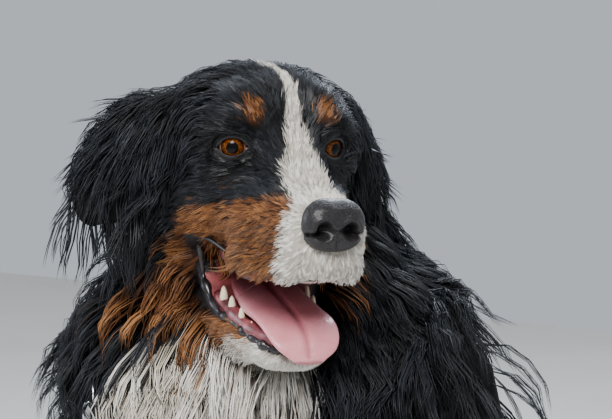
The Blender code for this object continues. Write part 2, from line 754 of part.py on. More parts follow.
def build_head():
    """The skull, jaw and lips in one, with the mouth, the eye sockets and the seat of the nose cut in."""
    matrix = head_matrix()
    head = fused(mesh_object("head", head_shapes()), HEAD_VOXEL, HEAD_TRIANGLES, 7)
    head.data.transform(matrix)
    for side in (1, -1):
        lid = ellipsoid((0, 0, 0), (EYE_RADIUS + LID_THICKNESS,) * 3, 8, 16)
        combine(head, mesh_object("lid", [placed(lid, eye_frame(side))]), "UNION")
    combine(head, mesh_object("mouth", [placed(head_loft(MOUTH, 2.2, 10, 14), matrix)]), "DIFFERENCE")
    seat = [(NOSE[0][0] + 0.3, *NOSE[0][1:])] + NOSE[1:]
    seat = [(y, z, *(half + 0.3 for half in halves)) for y, z, *halves in seat]
    combine(head, mesh_object("seat", [placed(head_loft(seat, 2.3, 6, 16), matrix)]), "DIFFERENCE")
    for side in (1, -1):
        ball = ellipsoid((0, 0, 0), (EYE_RADIUS + GAP,) * 3, 8, 16)
        combine(head, mesh_object("socket", [placed(ball, eye_frame(side))]), "DIFFERENCE")
        combine(head, mesh_object("slit", [placed(almond(), eye_frame(side))]), "DIFFERENCE")
    return head


def build_nose():
    """The nose leather with its nostrils and the slits beside them."""
    nose = mesh_object("nose", [placed(head_loft(NOSE, 2.3, 6, 16), head_matrix())])
    for side in (1, -1):
        hole = ellipsoid((side * 10 * MM, -113 * MM, -39 * MM), (5.2 * MM, 8 * MM, 4.4 * MM), 4, 10)
        slit = ellipsoid((side * 17 * MM, -109 * MM, -42 * MM), (6 * MM, 7 * MM, 1.8 * MM), 3, 8)
        for cut in (hole, slit):
            combine(nose, mesh_object("hole", [placed(cut, head_matrix())]), "DIFFERENCE")
    return nose


def collar_and_tag(skin):
    """A rolled collar round the neck, and a tag that hangs from its lug by a ring."""
    line = collar_line(skin, (0, -0.066, 0.658), (0, -0.304, 0.953))
    at = int(np.argmin(np.linalg.norm(line - np.array(TAG_PLACE), axis=1)))
    out = unit((line[at] - line.mean(0)) * [1, 1, 0])
    tangent = unit(np.cross([0, 0, 1.0], out))
    wide = np.array([math.cos(TAG_TURN), math.sin(TAG_TURN), 0])
    thick = np.array([math.sin(TAG_TURN), -math.cos(TAG_TURN), 0])
    up = np.array([0, 0, 1.0])
    turn = np.linspace(0, 2 * math.pi, 10, endpoint=False)[:, None]
    hole = line[at] + out * 0.0095
    lug = tube(hole + 0.0050 * (np.cos(turn) * out + np.sin(turn) * tangent), 0.0014, 6)
    middle = hole + out * 0.0052
    ring = tube(middle + 0.0056 * (np.cos(turn) * out + np.sin(turn) * up), 0.0010, 6)
    levels = ((-0.0052, 0.0050), (-0.0072, 0.0068), (-0.0220, 0.0082), (-0.0270, 0.0066))
    corners = [
        [middle + up * z + wide * (a * w) + thick * (b * 0.0010) for a, b in ((1, 1), (-1, 1), (-1, -1), (1, -1))]
        for z, w in levels
    ]
    collar = mesh_object("collar", [tube(line, 0.006, 6)])
    joined(collar, [lug])
    tag = mesh_object("tag", [closed_tube(np.array(corners))])
    joined(tag, [ring])
    hollow = mesh_object("groove", [tube(line, 0.006 + GAP, 6)])
    joined(hollow, [tube(hole + 0.0050 * (np.cos(turn) * out + np.sin(turn) * tangent), 0.0014 + GAP, 6)])
    guards = [near_points(line, 0.013), near_points(middle + up * np.linspace(-0.03, 0.005, 6)[:, None], 0.022)]
    return collar, tag, hollow, guards


def build_nodes():
    """Every node of the dog by name."""
    matrix = head_matrix()
    whole = fused(mesh_object("torso", body_shapes()), BODY_VOXEL, BODY_TRIANGLES, 5)
    head = build_head()
    nodes = {"nose": build_nose()}
    for side, name in ((1, "left"), (-1, "right")):
        ball = ellipsoid((0, 0, 0), (EYE_RADIUS,) * 3, 8, 16)
        nodes["eye_" + name] = mesh_object("eye_" + name, [placed(ball, eye_frame(side))])
    combine(whole, head, "UNION", "MANIFOLD")
    combine(whole, cell([((0, 0, FLOOR), (0, 0, -1))], 0.0), "INTERSECT", "MANIFOLD")
    nodes["collar"], nodes["tag"], groove, guards = collar_and_tag(whole)
    core = grown(whole, 0.0006)
    for side, name in ((1, "left"), (-1, "right")):
        ear = mesh_object("ear_" + name, [placed(ear_shape(side), matrix)])
        joined(ear, comb_ear(side, ear))
        combine(ear, duplicate(core, "core"), "DIFFERENCE", "MANIFOLD")
        nodes["ear_" + name] = tidied(ear)
        guards.append(near_skin(ear, 0.005))
    remove(core)
    hair = comb_body(whole, guards)
    for side in (1, -1):
        hair += claws(side, *FORE_PAW) + claws(side, *HIND_PAW)
    joined(whole, hair)
    combine(whole, cell([((0, 0, FLOOR), (0, 0, -1))], 0.0), "INTERSECT", "MANIFOLD")
    combine(whole, groove, "DIFFERENCE", "MANIFOLD")

    nodes["head"] = parted(whole, "head", in_head(HEAD_CELL))
    nodes["jaw"] = parted(nodes["head"], "jaw", in_head(JAW_CELL))
    nodes["tail_root"] = parted(whole, "tail_root", [((0, 0.340, 0), (0, -1, 0)), ((0, 0, 0.155), (0, 0, 1))])
    nodes["tail_middle"] = parted(nodes["tail_root"], "tail_middle", [((0.045, 0.408, 0), (-0.68, -0.73, 0))])
    nodes["tail_plume"] = parted(nodes["tail_middle"], "tail_plume", [((0.140, 0.460, 0), (-1, 0, 0))])
    nodes["neck"] = parted(whole, "neck", [((0, -0.20, 0.590), (0, 0.359, -0.933))])
    for side, name in ((1, "left"), (-1, "right")):
        leg = "hindleg_" + name
        thigh = [
            ((0.100 * side, 0, 0), (-side, 0, 0)),
            ((0, 0, 0.348), (0, 0, 1)),
            ((0, -0.058, 0), (0, -0.98, 0.196)),
            ((0, -0.030, 0.200), (0, -0.81, 0.587)),
        ]
        nodes[leg] = parted(whole, leg, thigh)
        nodes["hindpaw_" + name] = parted(nodes[leg], "hindpaw_" + name, [((0, 0, 0.078), (0, 0, 1))])
    for side, name in ((1, "left"), (-1, "right")):
        leg = "foreleg_" + name
        upper = [
            ((0, -0.100, 0.325), (0, 0.521, 0.854)),
            ((0.030 * side, 0, 0), (-side, 0, 0)),
            ((0, 0.050, 0), (0, 1, 0)),
        ]
        nodes[leg] = parted(whole, leg, upper)
        nodes["forepaw_" + name] = parted(nodes[leg], "forepaw_" + name, [((0, 0, 0.074), (0, 0, 1))])
    nodes["rump"] = parted(whole, "rump", [((0, 0.100, 0.400), (0, -0.64, 0.77))])
    nodes["torso"] = whole

    joined(nodes["head"], [placed(tooth, matrix) for tooth in teeth(UPPER_TEETH)])
    joined(nodes["jaw"], [placed(tooth, matrix) for tooth in teeth(LOWER_TEETH)])
    nodes["tongue"] = mesh_object("tongue", [placed(head_loft(TONGUE, 2.4, 10, 14), matrix)])
    for name in ("head", "jaw"):
        combine(nodes[name], grown(nodes["tongue"], 0.0004), "DIFFERENCE", "MANIFOLD")
    return nodes


FINISHES = {
    "coat_black": (BLACK, 0.55, 0.0),
    "coat_white": (WHITE, 0.70, 0.0),
    "nose_leather": (NOSE_BLACK, 0.35, 0.0),
    "tongue_flesh": (TONGUE_PINK, 0.40, 0.0),
    "eye_amber": (IRIS_AMBER, 0.05, 0.0),
    "collar_black": (STRAP_BLACK, 0.50, 0.0),
    "tag_steel": (STEEL, 0.30, 1.0),
}
SLOTS = {
    "nose": "nose_leather",
    "tongue": "tongue_flesh",
    "eye_left": "eye_amber",
    "eye_right": "eye_amber",
    "collar": "collar_black",
    "tag": "tag_steel",
    "forepaw_left": "coat_white",
    "forepaw_right": "coat_white",
    "hindpaw_left": "coat_white",
    "hindpaw_right": "coat_white",
}


def main():
    """Build the nodes, stand them over the origin and give each its material."""
    clear_scene()
    nodes = {name: tidied(node) for name, node in build_nodes().items()}
    corners = np.array([v.co[:] for node in nodes.values() for v in node.data.vertices])
    middle = (corners.min(0) + corners.max(0)) / 2
    for name, node in nodes.items():
        node.name = name
        node.data.transform(Matrix.Translation((-middle[0], -middle[1], 0)))
        slot = SLOTS.get(name, "coat_black")
        node.data.materials.clear()
        node.data.materials.append(finish(name + "_" + slot, *FINISHES[slot]))


main()
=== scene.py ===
"""A sitting Bernese mountain dog at life size: skin, coat, eyes, mouth, collar and a plain studio.

The dog faces -Y, +Z is up and +X is the dog's left. Sizes are in metres, or in millimetres
where a name or a docstring says so. The head is shaped in a frame of its own, with the point
between the eyes at zero and the muzzle along -Y, and is then posed on the neck.
"""

import logging
import math
from dataclasses import dataclass, field
from enum import Enum

import bpy
import numpy as np
from mathutils import Matrix, Vector
from mathutils.bvhtree import BVHTree


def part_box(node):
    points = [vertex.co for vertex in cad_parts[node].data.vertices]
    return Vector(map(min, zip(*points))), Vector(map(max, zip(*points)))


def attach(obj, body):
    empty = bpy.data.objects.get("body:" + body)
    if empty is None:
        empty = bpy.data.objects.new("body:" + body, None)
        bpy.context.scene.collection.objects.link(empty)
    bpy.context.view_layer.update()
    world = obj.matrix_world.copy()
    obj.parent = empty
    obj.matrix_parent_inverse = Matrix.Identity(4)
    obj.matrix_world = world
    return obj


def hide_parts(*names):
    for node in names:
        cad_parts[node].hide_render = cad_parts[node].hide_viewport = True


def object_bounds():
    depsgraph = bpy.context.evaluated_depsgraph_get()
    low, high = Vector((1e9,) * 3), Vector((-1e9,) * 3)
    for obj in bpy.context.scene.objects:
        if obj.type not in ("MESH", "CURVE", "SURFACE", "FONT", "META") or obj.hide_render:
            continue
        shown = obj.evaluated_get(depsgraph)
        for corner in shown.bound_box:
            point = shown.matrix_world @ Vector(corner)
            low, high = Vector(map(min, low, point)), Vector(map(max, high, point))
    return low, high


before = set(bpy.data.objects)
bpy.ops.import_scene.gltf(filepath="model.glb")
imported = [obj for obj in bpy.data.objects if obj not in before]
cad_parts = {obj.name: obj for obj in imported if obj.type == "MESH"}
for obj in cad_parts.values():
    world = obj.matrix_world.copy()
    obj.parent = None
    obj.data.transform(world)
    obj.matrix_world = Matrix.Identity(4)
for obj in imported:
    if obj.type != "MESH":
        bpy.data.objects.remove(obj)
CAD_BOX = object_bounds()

LOG = logging.getLogger("dog")
MM = 0.001
Array = np.ndarray

HEAD_PLACE = Vector((0.080, -0.163, 0.812))
HEAD_YAW = math.radians(54.0)
HEAD_PITCH = math.radians(4.5)
HEAD_ROLL = math.radians(3.0)
EYE_PLACE = Vector((35.0, 6.0, 0.0)) * MM
EYE_TURN_OUT = math.radians(24.0)
EYE_RADIUS = 12.0 * MM
SKIN_SEED = 11

# Stations of the body: x, y, z of the centre, half width, half depth, depth of the coat, in metres.
TORSO = [
    (0, -0.150, 0.535, 0.048, 0.052, 0.045),
    (0, -0.124, 0.527, 0.098, 0.096, 0.048),
    (0, -0.070, 0.512, 0.130, 0.132, 0.045),
    (0, 0.006, 0.478, 0.144, 0.150, 0.040),
    (0, 0.082, 0.420, 0.146, 0.146, 0.036),
    (0, 0.146, 0.346, 0.140, 0.134, 0.036),
    (0, 0.194, 0.262, 0.132, 0.124, 0.038),
    (0, 0.216, 0.178, 0.124, 0.116, 0.040),
    (0, 0.224, 0.106, 0.108, 0.104, 0.034),
    (0, 0.228, 0.058, 0.072, 0.072, 0.020),
]
NECK = [
    (0, -0.030, 0.550, 0.098, 0.084, 0.045),
    (0, -0.056, 0.610, 0.120, 0.106, 0.055),
    (0, -0.064, 0.672, 0.106, 0.104, 0.060),
    (0, -0.070, 0.728, 0.086, 0.088, 0.052),
    (0.002, -0.084, 0.780, 0.064, 0.068, 0.030),
    (0.008, -0.100, 0.818, 0.040, 0.044, 0.012),
]
SHOULDER = [
    (0.088, 0.036, 0.628, 0.050, 0.060, 0.050),
    (0.110, -0.018, 0.574, 0.064, 0.090, 0.052),
    (0.118, -0.068, 0.494, 0.060, 0.090, 0.044),
    (0.113, -0.062, 0.410, 0.050, 0.070, 0.030),
    (0.106, -0.038, 0.345, 0.036, 0.048, 0.018),
]
FORELEG = [
    (0.104, -0.022, 0.390, 0.040, 0.054, 0.020),
    (0.102, -0.034, 0.335, 0.036, 0.045, 0.018),
    (0.098, -0.054, 0.250, 0.031, 0.036, 0.013),
    (0.094, -0.074, 0.170, 0.027, 0.029, 0.010),
    (0.092, -0.084, 0.125, 0.029, 0.030, 0.009),
    (0.091, -0.091, 0.080, 0.027, 0.027, 0.009),
    (0.091, -0.097, 0.040, 0.028, 0.028, 0.008),
]
THIGH = [
    (0.066, 0.272, 0.215, 0.040, 0.060, 0.030),
    (0.092, 0.218, 0.222, 0.062, 0.100, 0.038),
    (0.120, 0.150, 0.216, 0.064, 0.108, 0.038),
    (0.142, 0.094, 0.200, 0.055, 0.088, 0.030),
    (0.154, 0.048, 0.180, 0.042, 0.062, 0.020),
    (0.160, 0.024, 0.168, 0.024, 0.036, 0.015),
]
SHANK = [
    (0.158, 0.040, 0.170, 0.034, 0.044, 0.016),
    (0.157, 0.074, 0.138, 0.041, 0.054, 0.018),
    (0.150, 0.120, 0.098, 0.038, 0.050, 0.018),
    (0.146, 0.182, 0.068, 0.029, 0.036, 0.016),
    (0.142, 0.226, 0.050, 0.025, 0.030, 0.014),
    (0.141, 0.250, 0.042, 0.014, 0.016, 0.010),
]
HIND_FOOT = [
    (0.141, 0.244, 0.036, 0.018, 0.022, 0.008),
    (0.143, 0.220, 0.031, 0.025, 0.029, 0.009),
    (0.152, 0.150, 0.029, 0.026, 0.027, 0.008),
    (0.162, 0.085, 0.029, 0.029, 0.026, 0.007),
    (0.166, 0.048, 0.029, 0.029, 0.024, 0.006),
]
TAIL = [
    (0.000, 0.262, 0.135, 0.036, 0.036, 0.030),
    (0.004, 0.322, 0.094, 0.034, 0.032, 0.040),
    (0.024, 0.382, 0.062, 0.031, 0.027, 0.052),
    (0.072, 0.434, 0.050, 0.028, 0.022, 0.058),
    (0.136, 0.460, 0.046, 0.024, 0.019, 0.058),
    (0.200, 0.458, 0.040, 0.017, 0.014, 0.050),
    (0.242, 0.446, 0.032, 0.006, 0.005, 0.032),
]
FORE_PAW = (0.091, -0.104)
HIND_PAW = (0.167, 0.046)
TOES = ((-0.031, 0.034), (-0.011, 0.052), (0.011, 0.052), (0.031, 0.034))

# Stations of the head in millimetres: y, z, half width, height above, depth below.
CRANIUM = [
    (124, -2, 22, 22, 30),
    (108, 0, 46, 36, 48),
    (80, 2, 63, 48, 62),
    (48, 3, 69, 52, 66),
    (18, 2, 66, 52, 60),
    (2, 3, 58, 46, 54),
    (-8, 6, 46, 34, 42),
    (-14, 10, 30, 20, 26),
]
BRIDGE = [
    (14, 4, 34, 38, 34),
    (-8, 1, 30, 30, 32),
    (-26, -8, 26, 17, 28),
    (-46, -18, 25, 6, 24),
    (-64, -28, 16, 4, 12),
]
MUZZLE = [
    (34, -38, 54, 30, 30),
    (6, -40, 51, 30, 36),
    (-20, -42, 45, 30, 42),
    (-45, -45, 39, 30, 46),
    (-70, -47, 36, 28, 39),
    (-88, -48, 33, 26, 33),
    (-99, -49, 28, 21, 27),
    (-106, -51, 17, 12, 17),
]
JAW = [
    (68, -62, 46, 22, 32),
    (42, -92, 46, 14, 34),
    (14, -117, 43, 7, 33),
    (-14, -123, 37, 5, 30),
    (-38, -128, 32, 4, 26),
    (-54, -131, 26, 3, 21),
    (-66, -134, 15, 2, 12),
]
MOUTH = [
    (44, -80, 16, 8, 12),
    (20, -84, 30, 16, 22),
    (-10, -90, 28, 22, 30),
    (-40, -94, 24, 22, 34),
    (-66, -92, 19, 16, 24),
    (-84, -90, 8, 8, 10),
]
TONGUE = [
    (36, -97, 17, 4, 6),
    (14, -105, 25, 5, 7),
    (-16, -111, 28.5, 6, 7),
    (-42, -115, 29, 5, 6.5),
    (-62, -120, 28, 4.5, 6),
    (-75, -128, 23, 4, 5),
    (-80, -136, 12, 3, 4),
]
NOSE = [
    (-92, -35, 17, 14, 14),
    (-100, -35, 22.5, 18, 19),
    (-107, -36, 22, 17, 18),
    (-112, -37, 17, 13, 14),
    (-114, -38, 9, 7, 8),
]
# Stations of the left ear in millimetres: x, y, z, half width, half thickness, curl of the edges.
EAR = [
    (36, 60, 20, 22, 9, 2),
    (56, 61, 24, 33, 9, 4),
    (77, 64, 11, 39, 8, 7),
    (94, 68, -16, 41, 5, 8),
    (105, 73, -39, 39, 5, 8),
    (111, 76, -57, 31, 5, 6),
    (113, 78, -70, 18, 4, 3),
    (113, 78, -76, 6, 3, 1),
]


def unit(vectors: Array) -> Array:
    """The vectors at length one: v / |v|."""
    return vectors / np.maximum(np.linalg.norm(vectors, axis=-1, keepdims=True), 1e-12)


def smooth_step(low: float, high: float, value: Array) -> Array:
    """3 t^2 - 2 t^3 of the value's share t of the way from low to high."""
    share = np.clip((value - low) / (high - low), 0.0, 1.0)
    return share * share * (3.0 - 2.0 * share)


def through(rows: list | Array, count: int) -> Array:
    """Rows of numbers carried on a Catmull-Rom curve.

    Args:
        rows: the stations that the curve goes through.
        count: how many rows are wanted in all.

    Returns:
        The rows at even steps of the curve's parameter.
    """
    rows = np.array(rows, float)
    padded = np.vstack([2 * rows[0] - rows[1], rows, 2 * rows[-1] - rows[-2]])
    at = np.linspace(0, len(rows) - 1, count)
    first = np.minimum(at.astype(int), len(rows) - 2)
    t = (at - first)[:, None]
    a, b, c, d = (padded[first + k] for k in range(4))
    return 0.5 * (2 * b + (c - a) * t + (2 * a - 5 * b + 4 * c - d) * t**2 + (3 * b - a - 3 * c + d) * t**3)


def moved(points: Array, matrix: Matrix) -> Array:
    """Places carried by a matrix."""
    return points @ np.array(matrix.to_3x3()).T + np.array(matrix.translation)


def skin_tree(thing: bpy.types.Object) -> BVHTree:
    """A tree of the object's faces, for finding the nearest place on it."""
    return BVHTree.FromObject(thing, bpy.context.evaluated_depsgraph_get())


@dataclass
class Shape:
    """Points with the quads and triangles between them."""

    points: Array
    quads: Array
    tris: Array

    @classmethod
    def from_rings(cls, rings: Array) -> "Shape":
        """Rings of points joined into a tube: quad (i, j) spans rings i, i + 1 and sides j, j + 1.

        Args:
            rings: an array of rings by sides by three.

        Returns:
            The shape, each end closed by a fan to the middle of its ring, with its faces turned out.
        """
        count, sides = rings.shape[:2]
        grid = np.arange((count - 1) * sides).reshape(count - 1, sides)
        beside = np.roll(grid, -1, axis=1)
        quads = np.stack([grid, beside, beside + sides, grid + sides], axis=-1).reshape(-1, 4)
        points = np.vstack([rings.reshape(-1, 3), rings[0].mean(0), rings[-1].mean(0)])
        side = np.arange(sides)
        after = (side + 1) % sides
        last = (count - 1) * sides
        first_cap = np.stack([after, side, np.full(sides, count * sides)], axis=-1)
        last_cap = np.stack([last + side, last + after, np.full(sides, count * sides + 1)], axis=-1)
        tris = np.vstack([first_cap, last_cap])
        made = cls(points, quads, tris)
        return cls(points, quads[:, ::-1], tris[:, ::-1]) if made.volume() < 0 else made

    @classmethod
    def loft(cls, rows: list, steps: int = 60, sides: int = 40, mirror: int = 1) -> "Shape":
        """A limb or trunk: centre + wide cos(a) side + thick sin(a) deep, square to its line.

        Args:
            rows: stations of x, y, z, half width, half depth and coat depth.
            steps: rings along the line.
            sides: points round a ring.
            mirror: 1 for the left side, -1 for the right.

        Returns:
            The closed shape.
        """
        rows = through(rows, steps)
        rows[:, 0] *= mirror
        along = unit(np.gradient(rows[:, :3], axis=0))
        side = unit(np.array([1.0, 0, 0]) - along * along[:, :1])
        deep = np.cross(along, side)
        wide, thick = (np.maximum(rows[:, k], 0.003)[:, None, None] for k in (3, 4))
        turn = np.linspace(0, 2 * math.pi, sides, endpoint=False)[None, :, None]
        return cls.from_rings(
            rows[:, None, :3] + wide * np.cos(turn) * side[:, None] + thick * np.sin(turn) * deep[:, None]
        )

    @classmethod
    def head_loft(cls, rows: list, squareness: float = 2.0, steps: int = 60, sides: int = 64) -> "Shape":
        """A part of the head: super-ellipses |x/w|^n + |z/h|^n = 1 carried from back to front.

        Args:
            rows: stations in millimetres: y, z, half width, height over and under.
            squareness: the power n.
            steps: rings along the line.
            sides: points round a ring.

        Returns:
            The closed shape in the head's frame.
        """
        rows = through(rows, steps) * MM
        turn = np.linspace(0, 2 * math.pi, sides, endpoint=False)[None, :]
        across = np.sign(np.cos(turn)) * np.abs(np.cos(turn)) ** (2 / squareness)
        up = np.sign(np.sin(turn)) * np.abs(np.sin(turn)) ** (2 / squareness)
        height = np.where(up > 0, rows[:, 3:4], rows[:, 4:5])
        back = np.repeat(rows[:, :1], sides, axis=1)
        return cls.from_rings(np.stack([rows[:, 2:3] * across, back, rows[:, 1:2] + height * up], axis=-1))

    @classmethod
    def ball(cls, centre: tuple, radii: tuple, steps: int = 24, sides: int = 36) -> "Shape":
        """An ellipsoid: centre + radii (cos u cos v, sin u, cos u sin v).

        Args:
            centre: its middle.
            radii: its three half sizes.
            steps: rings between the poles.
            sides: points round a ring.

        Returns:
            The closed shape.
        """
        lat = np.linspace(-math.pi / 2, math.pi / 2, steps + 2)[1:-1, None]
        turn = np.linspace(0, 2 * math.pi, sides, endpoint=False)[None, :]
        high = np.repeat(np.sin(lat), sides, axis=1)
        rings = [np.cos(lat) * np.cos(turn), high, np.cos(lat) * np.sin(turn)]
        made = cls.from_rings(np.stack(rings, axis=-1))
        made.points[-2:] = [[0, -1, 0], [0, 1, 0]]
        made.points = made.points * np.array(radii) + np.array(centre)
        return made

    def volume(self) -> float:
        """The volume inside, by tetrahedra from the origin: below nothing where the faces point in.

        Returns:
            The volume in the cube of the shape's own unit.
        """
        tris = np.vstack([self.quads[:, :3], self.quads[:, [0, 2, 3]], self.tris])
        a, b, c = (self.points[tris[:, k]] for k in range(3))
        return float((a * np.cross(b, c)).sum() / 6)

    def placed(self, matrix: Matrix) -> "Shape":
        """The shape moved by a matrix."""
        return Shape(moved(self.points, matrix), self.quads, self.tris)

    @staticmethod
    def merged(shapes: list["Shape"]) -> "Shape":
        """Several shapes as one, each with its own points.

        Args:
            shapes: the shapes.

        Returns:
            One shape.
        """
        starts = np.cumsum([0] + [len(s.points) for s in shapes[:-1]])
        return Shape(
            np.vstack([s.points for s in shapes]),
            np.vstack([s.quads.reshape(-1, 4) + k for s, k in zip(shapes, starts)]),
            np.vstack([s.tris.reshape(-1, 3) + k for s, k in zip(shapes, starts)]),
        )


def mesh_object(name: str, shape: Shape, smooth: bool = True) -> bpy.types.Object:
    """A linked object with a mesh of the shape's points and faces.

    Args:
        name: the object's name.
        shape: the points and faces.
        smooth: whether the faces are shaded smooth.

    Returns:
        The object.
    """
    mesh = bpy.data.meshes.new(name)
    mesh.from_pydata(shape.points.tolist(), [], shape.quads.tolist() + shape.tris.tolist())
    mesh.polygons.foreach_set("use_smooth", np.full(len(mesh.polygons), smooth))
    mesh.update()
    made = bpy.data.objects.new(name, mesh)
    bpy.context.scene.collection.objects.link(made)
    return made


def points_of(thing: bpy.types.Object) -> Array:
    """The object's vertices as an array.

    Args:
        thing: the object.

    Returns:
        Places in its own frame.
    """
    flat = np.zeros(len(thing.data.vertices) * 3, np.float32)
    thing.data.vertices.foreach_get("co", flat)
    return flat.reshape(-1, 3).astype(float)


def normals_of(thing: bpy.types.Object) -> Array:
    """The normals at the object's vertices as an array.

    Args:
        thing: the object.

    Returns:
        Ways of length one.
    """
    flat = np.zeros(len(thing.data.vertices) * 3, np.float32)
    thing.data.vertex_normals.foreach_get("vector", flat)
    return flat.reshape(-1, 3).astype(float)


def set_points(thing: bpy.types.Object, points: Array) -> None:
    """Move the object's vertices to new places."""
    thing.data.vertices.foreach_set("co", points.astype(np.float32).ravel())
    thing.data.update()


def set_values(thing: bpy.types.Object, name: str, values: Array) -> None:
    """Write one number for each vertex as an attribute that a material can read."""
    attribute = thing.data.attributes.new(name, "FLOAT", "POINT")
    attribute.data.foreach_set("value", values.astype(np.float32))


def apply_all(thing: bpy.types.Object) -> bpy.types.Object:
    """Put the object's evaluated mesh in place of its own.

    Args:
        thing: the object, which loses its modifiers.

    Returns:
        The same object.
    """
    graph = bpy.context.evaluated_depsgraph_get()
    graph.update()
    mesh = bpy.data.meshes.new_from_object(thing.evaluated_get(graph))
    thing.modifiers.clear()
    thing.data = mesh
    return thing


def combine(thing: bpy.types.Object, other: bpy.types.Object, operation: str, solver: str) -> None:
    """A Boolean of two objects, applied to the first; the second is used up.

    Args:
        thing: the object that is kept.
        other: the object that is joined or cut away.
        operation: UNION or DIFFERENCE.
        solver: the solver's name.
    """
    cut = thing.modifiers.new(operation.title(), "BOOLEAN")
    cut.operation = operation
    cut.solver = solver
    cut.object = other
    apply_all(thing)
    bpy.data.objects.remove(other, do_unlink=True)


def fused(thing: bpy.types.Object, voxel: float, smoothing: int) -> bpy.types.Object:
    """Overlapping shapes fused into one smooth skin of even faces.

    Args:
        thing: the object that holds the shapes.
        voxel: the size of a cell.
        smoothing: rounds of smoothing.

    Returns:
        The same object.
    """
    remesh = thing.modifiers.new("Fuse", "REMESH")
    remesh.mode = "VOXEL"
    remesh.voxel_size = voxel
    soften = thing.modifiers.new("Soften", "SMOOTH")
    soften.factor = 0.5
    soften.iterations = smoothing
    return apply_all(thing)


def head_matrix() -> Matrix:
    """Where the head's own axes stand in the dog: turned to its left, tipped down and rolled."""
    turn = Matrix.Rotation(HEAD_YAW, 4, "Z") @ Matrix.Rotation(HEAD_PITCH, 4, "X")
    return Matrix.Translation(HEAD_PLACE) @ turn @ Matrix.Rotation(HEAD_ROLL, 4, "Y")


def eye_local(side: int) -> Matrix:
    """The eye's own axes in the head's frame: its gaze is -Y, turned out to the side."""
    place = Matrix.Translation((side * EYE_PLACE.x, EYE_PLACE.y, EYE_PLACE.z))
    return place @ Matrix.Rotation(side * EYE_TURN_OUT, 4, "Z")


def frame_shift() -> Vector:
    """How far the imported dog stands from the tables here, read from the left eye's box."""
    low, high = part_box("eye_left")
    return (low + high) / 2 - (head_matrix() @ eye_local(1)).translation


SHIFT = frame_shift()
BODY = Matrix.Translation(SHIFT)
HEAD = BODY @ head_matrix()


class Socket:
    """A node's output or a number, with arithmetic that adds Math nodes."""

    def __init__(self, finish: "Finish", source: bpy.types.NodeSocket | float) -> None:
        """Hold the finish that owns the nodes and the output or number."""
        self.finish = finish
        self.source = source

    def _with(self, operation: str, other: "Socket | float", swapped: bool = False) -> "Socket":
        """A Math node on this value and another."""
        pair = (other, self) if swapped else (self, other)
        return self.finish.node("ShaderNodeMath", {"operation": operation}, {0: pair[0], 1: pair[1]})

    def __add__(self, other: "Socket | float") -> "Socket":
        """Sum."""
        return self._with("ADD", other)

    __radd__ = __add__

    def __mul__(self, other: "Socket | float") -> "Socket":
        """Product."""
        return self._with("MULTIPLY", other)

    __rmul__ = __mul__

    def __sub__(self, other: "Socket | float") -> "Socket":
        """Difference."""
        return self._with("SUBTRACT", other)

    def __rsub__(self, other: "Socket | float") -> "Socket":
        """Difference from a number."""
        return self._with("SUBTRACT", other, True)

    def step(self, low: float, high: float) -> "Socket":
        """A smooth rise from 0 at low to 1 at high."""
        ranged = {"From Min": low, "From Max": high, "Value": self}
        return self.finish.node("ShaderNodeMapRange", {"interpolation_type": "SMOOTHSTEP"}, ranged)


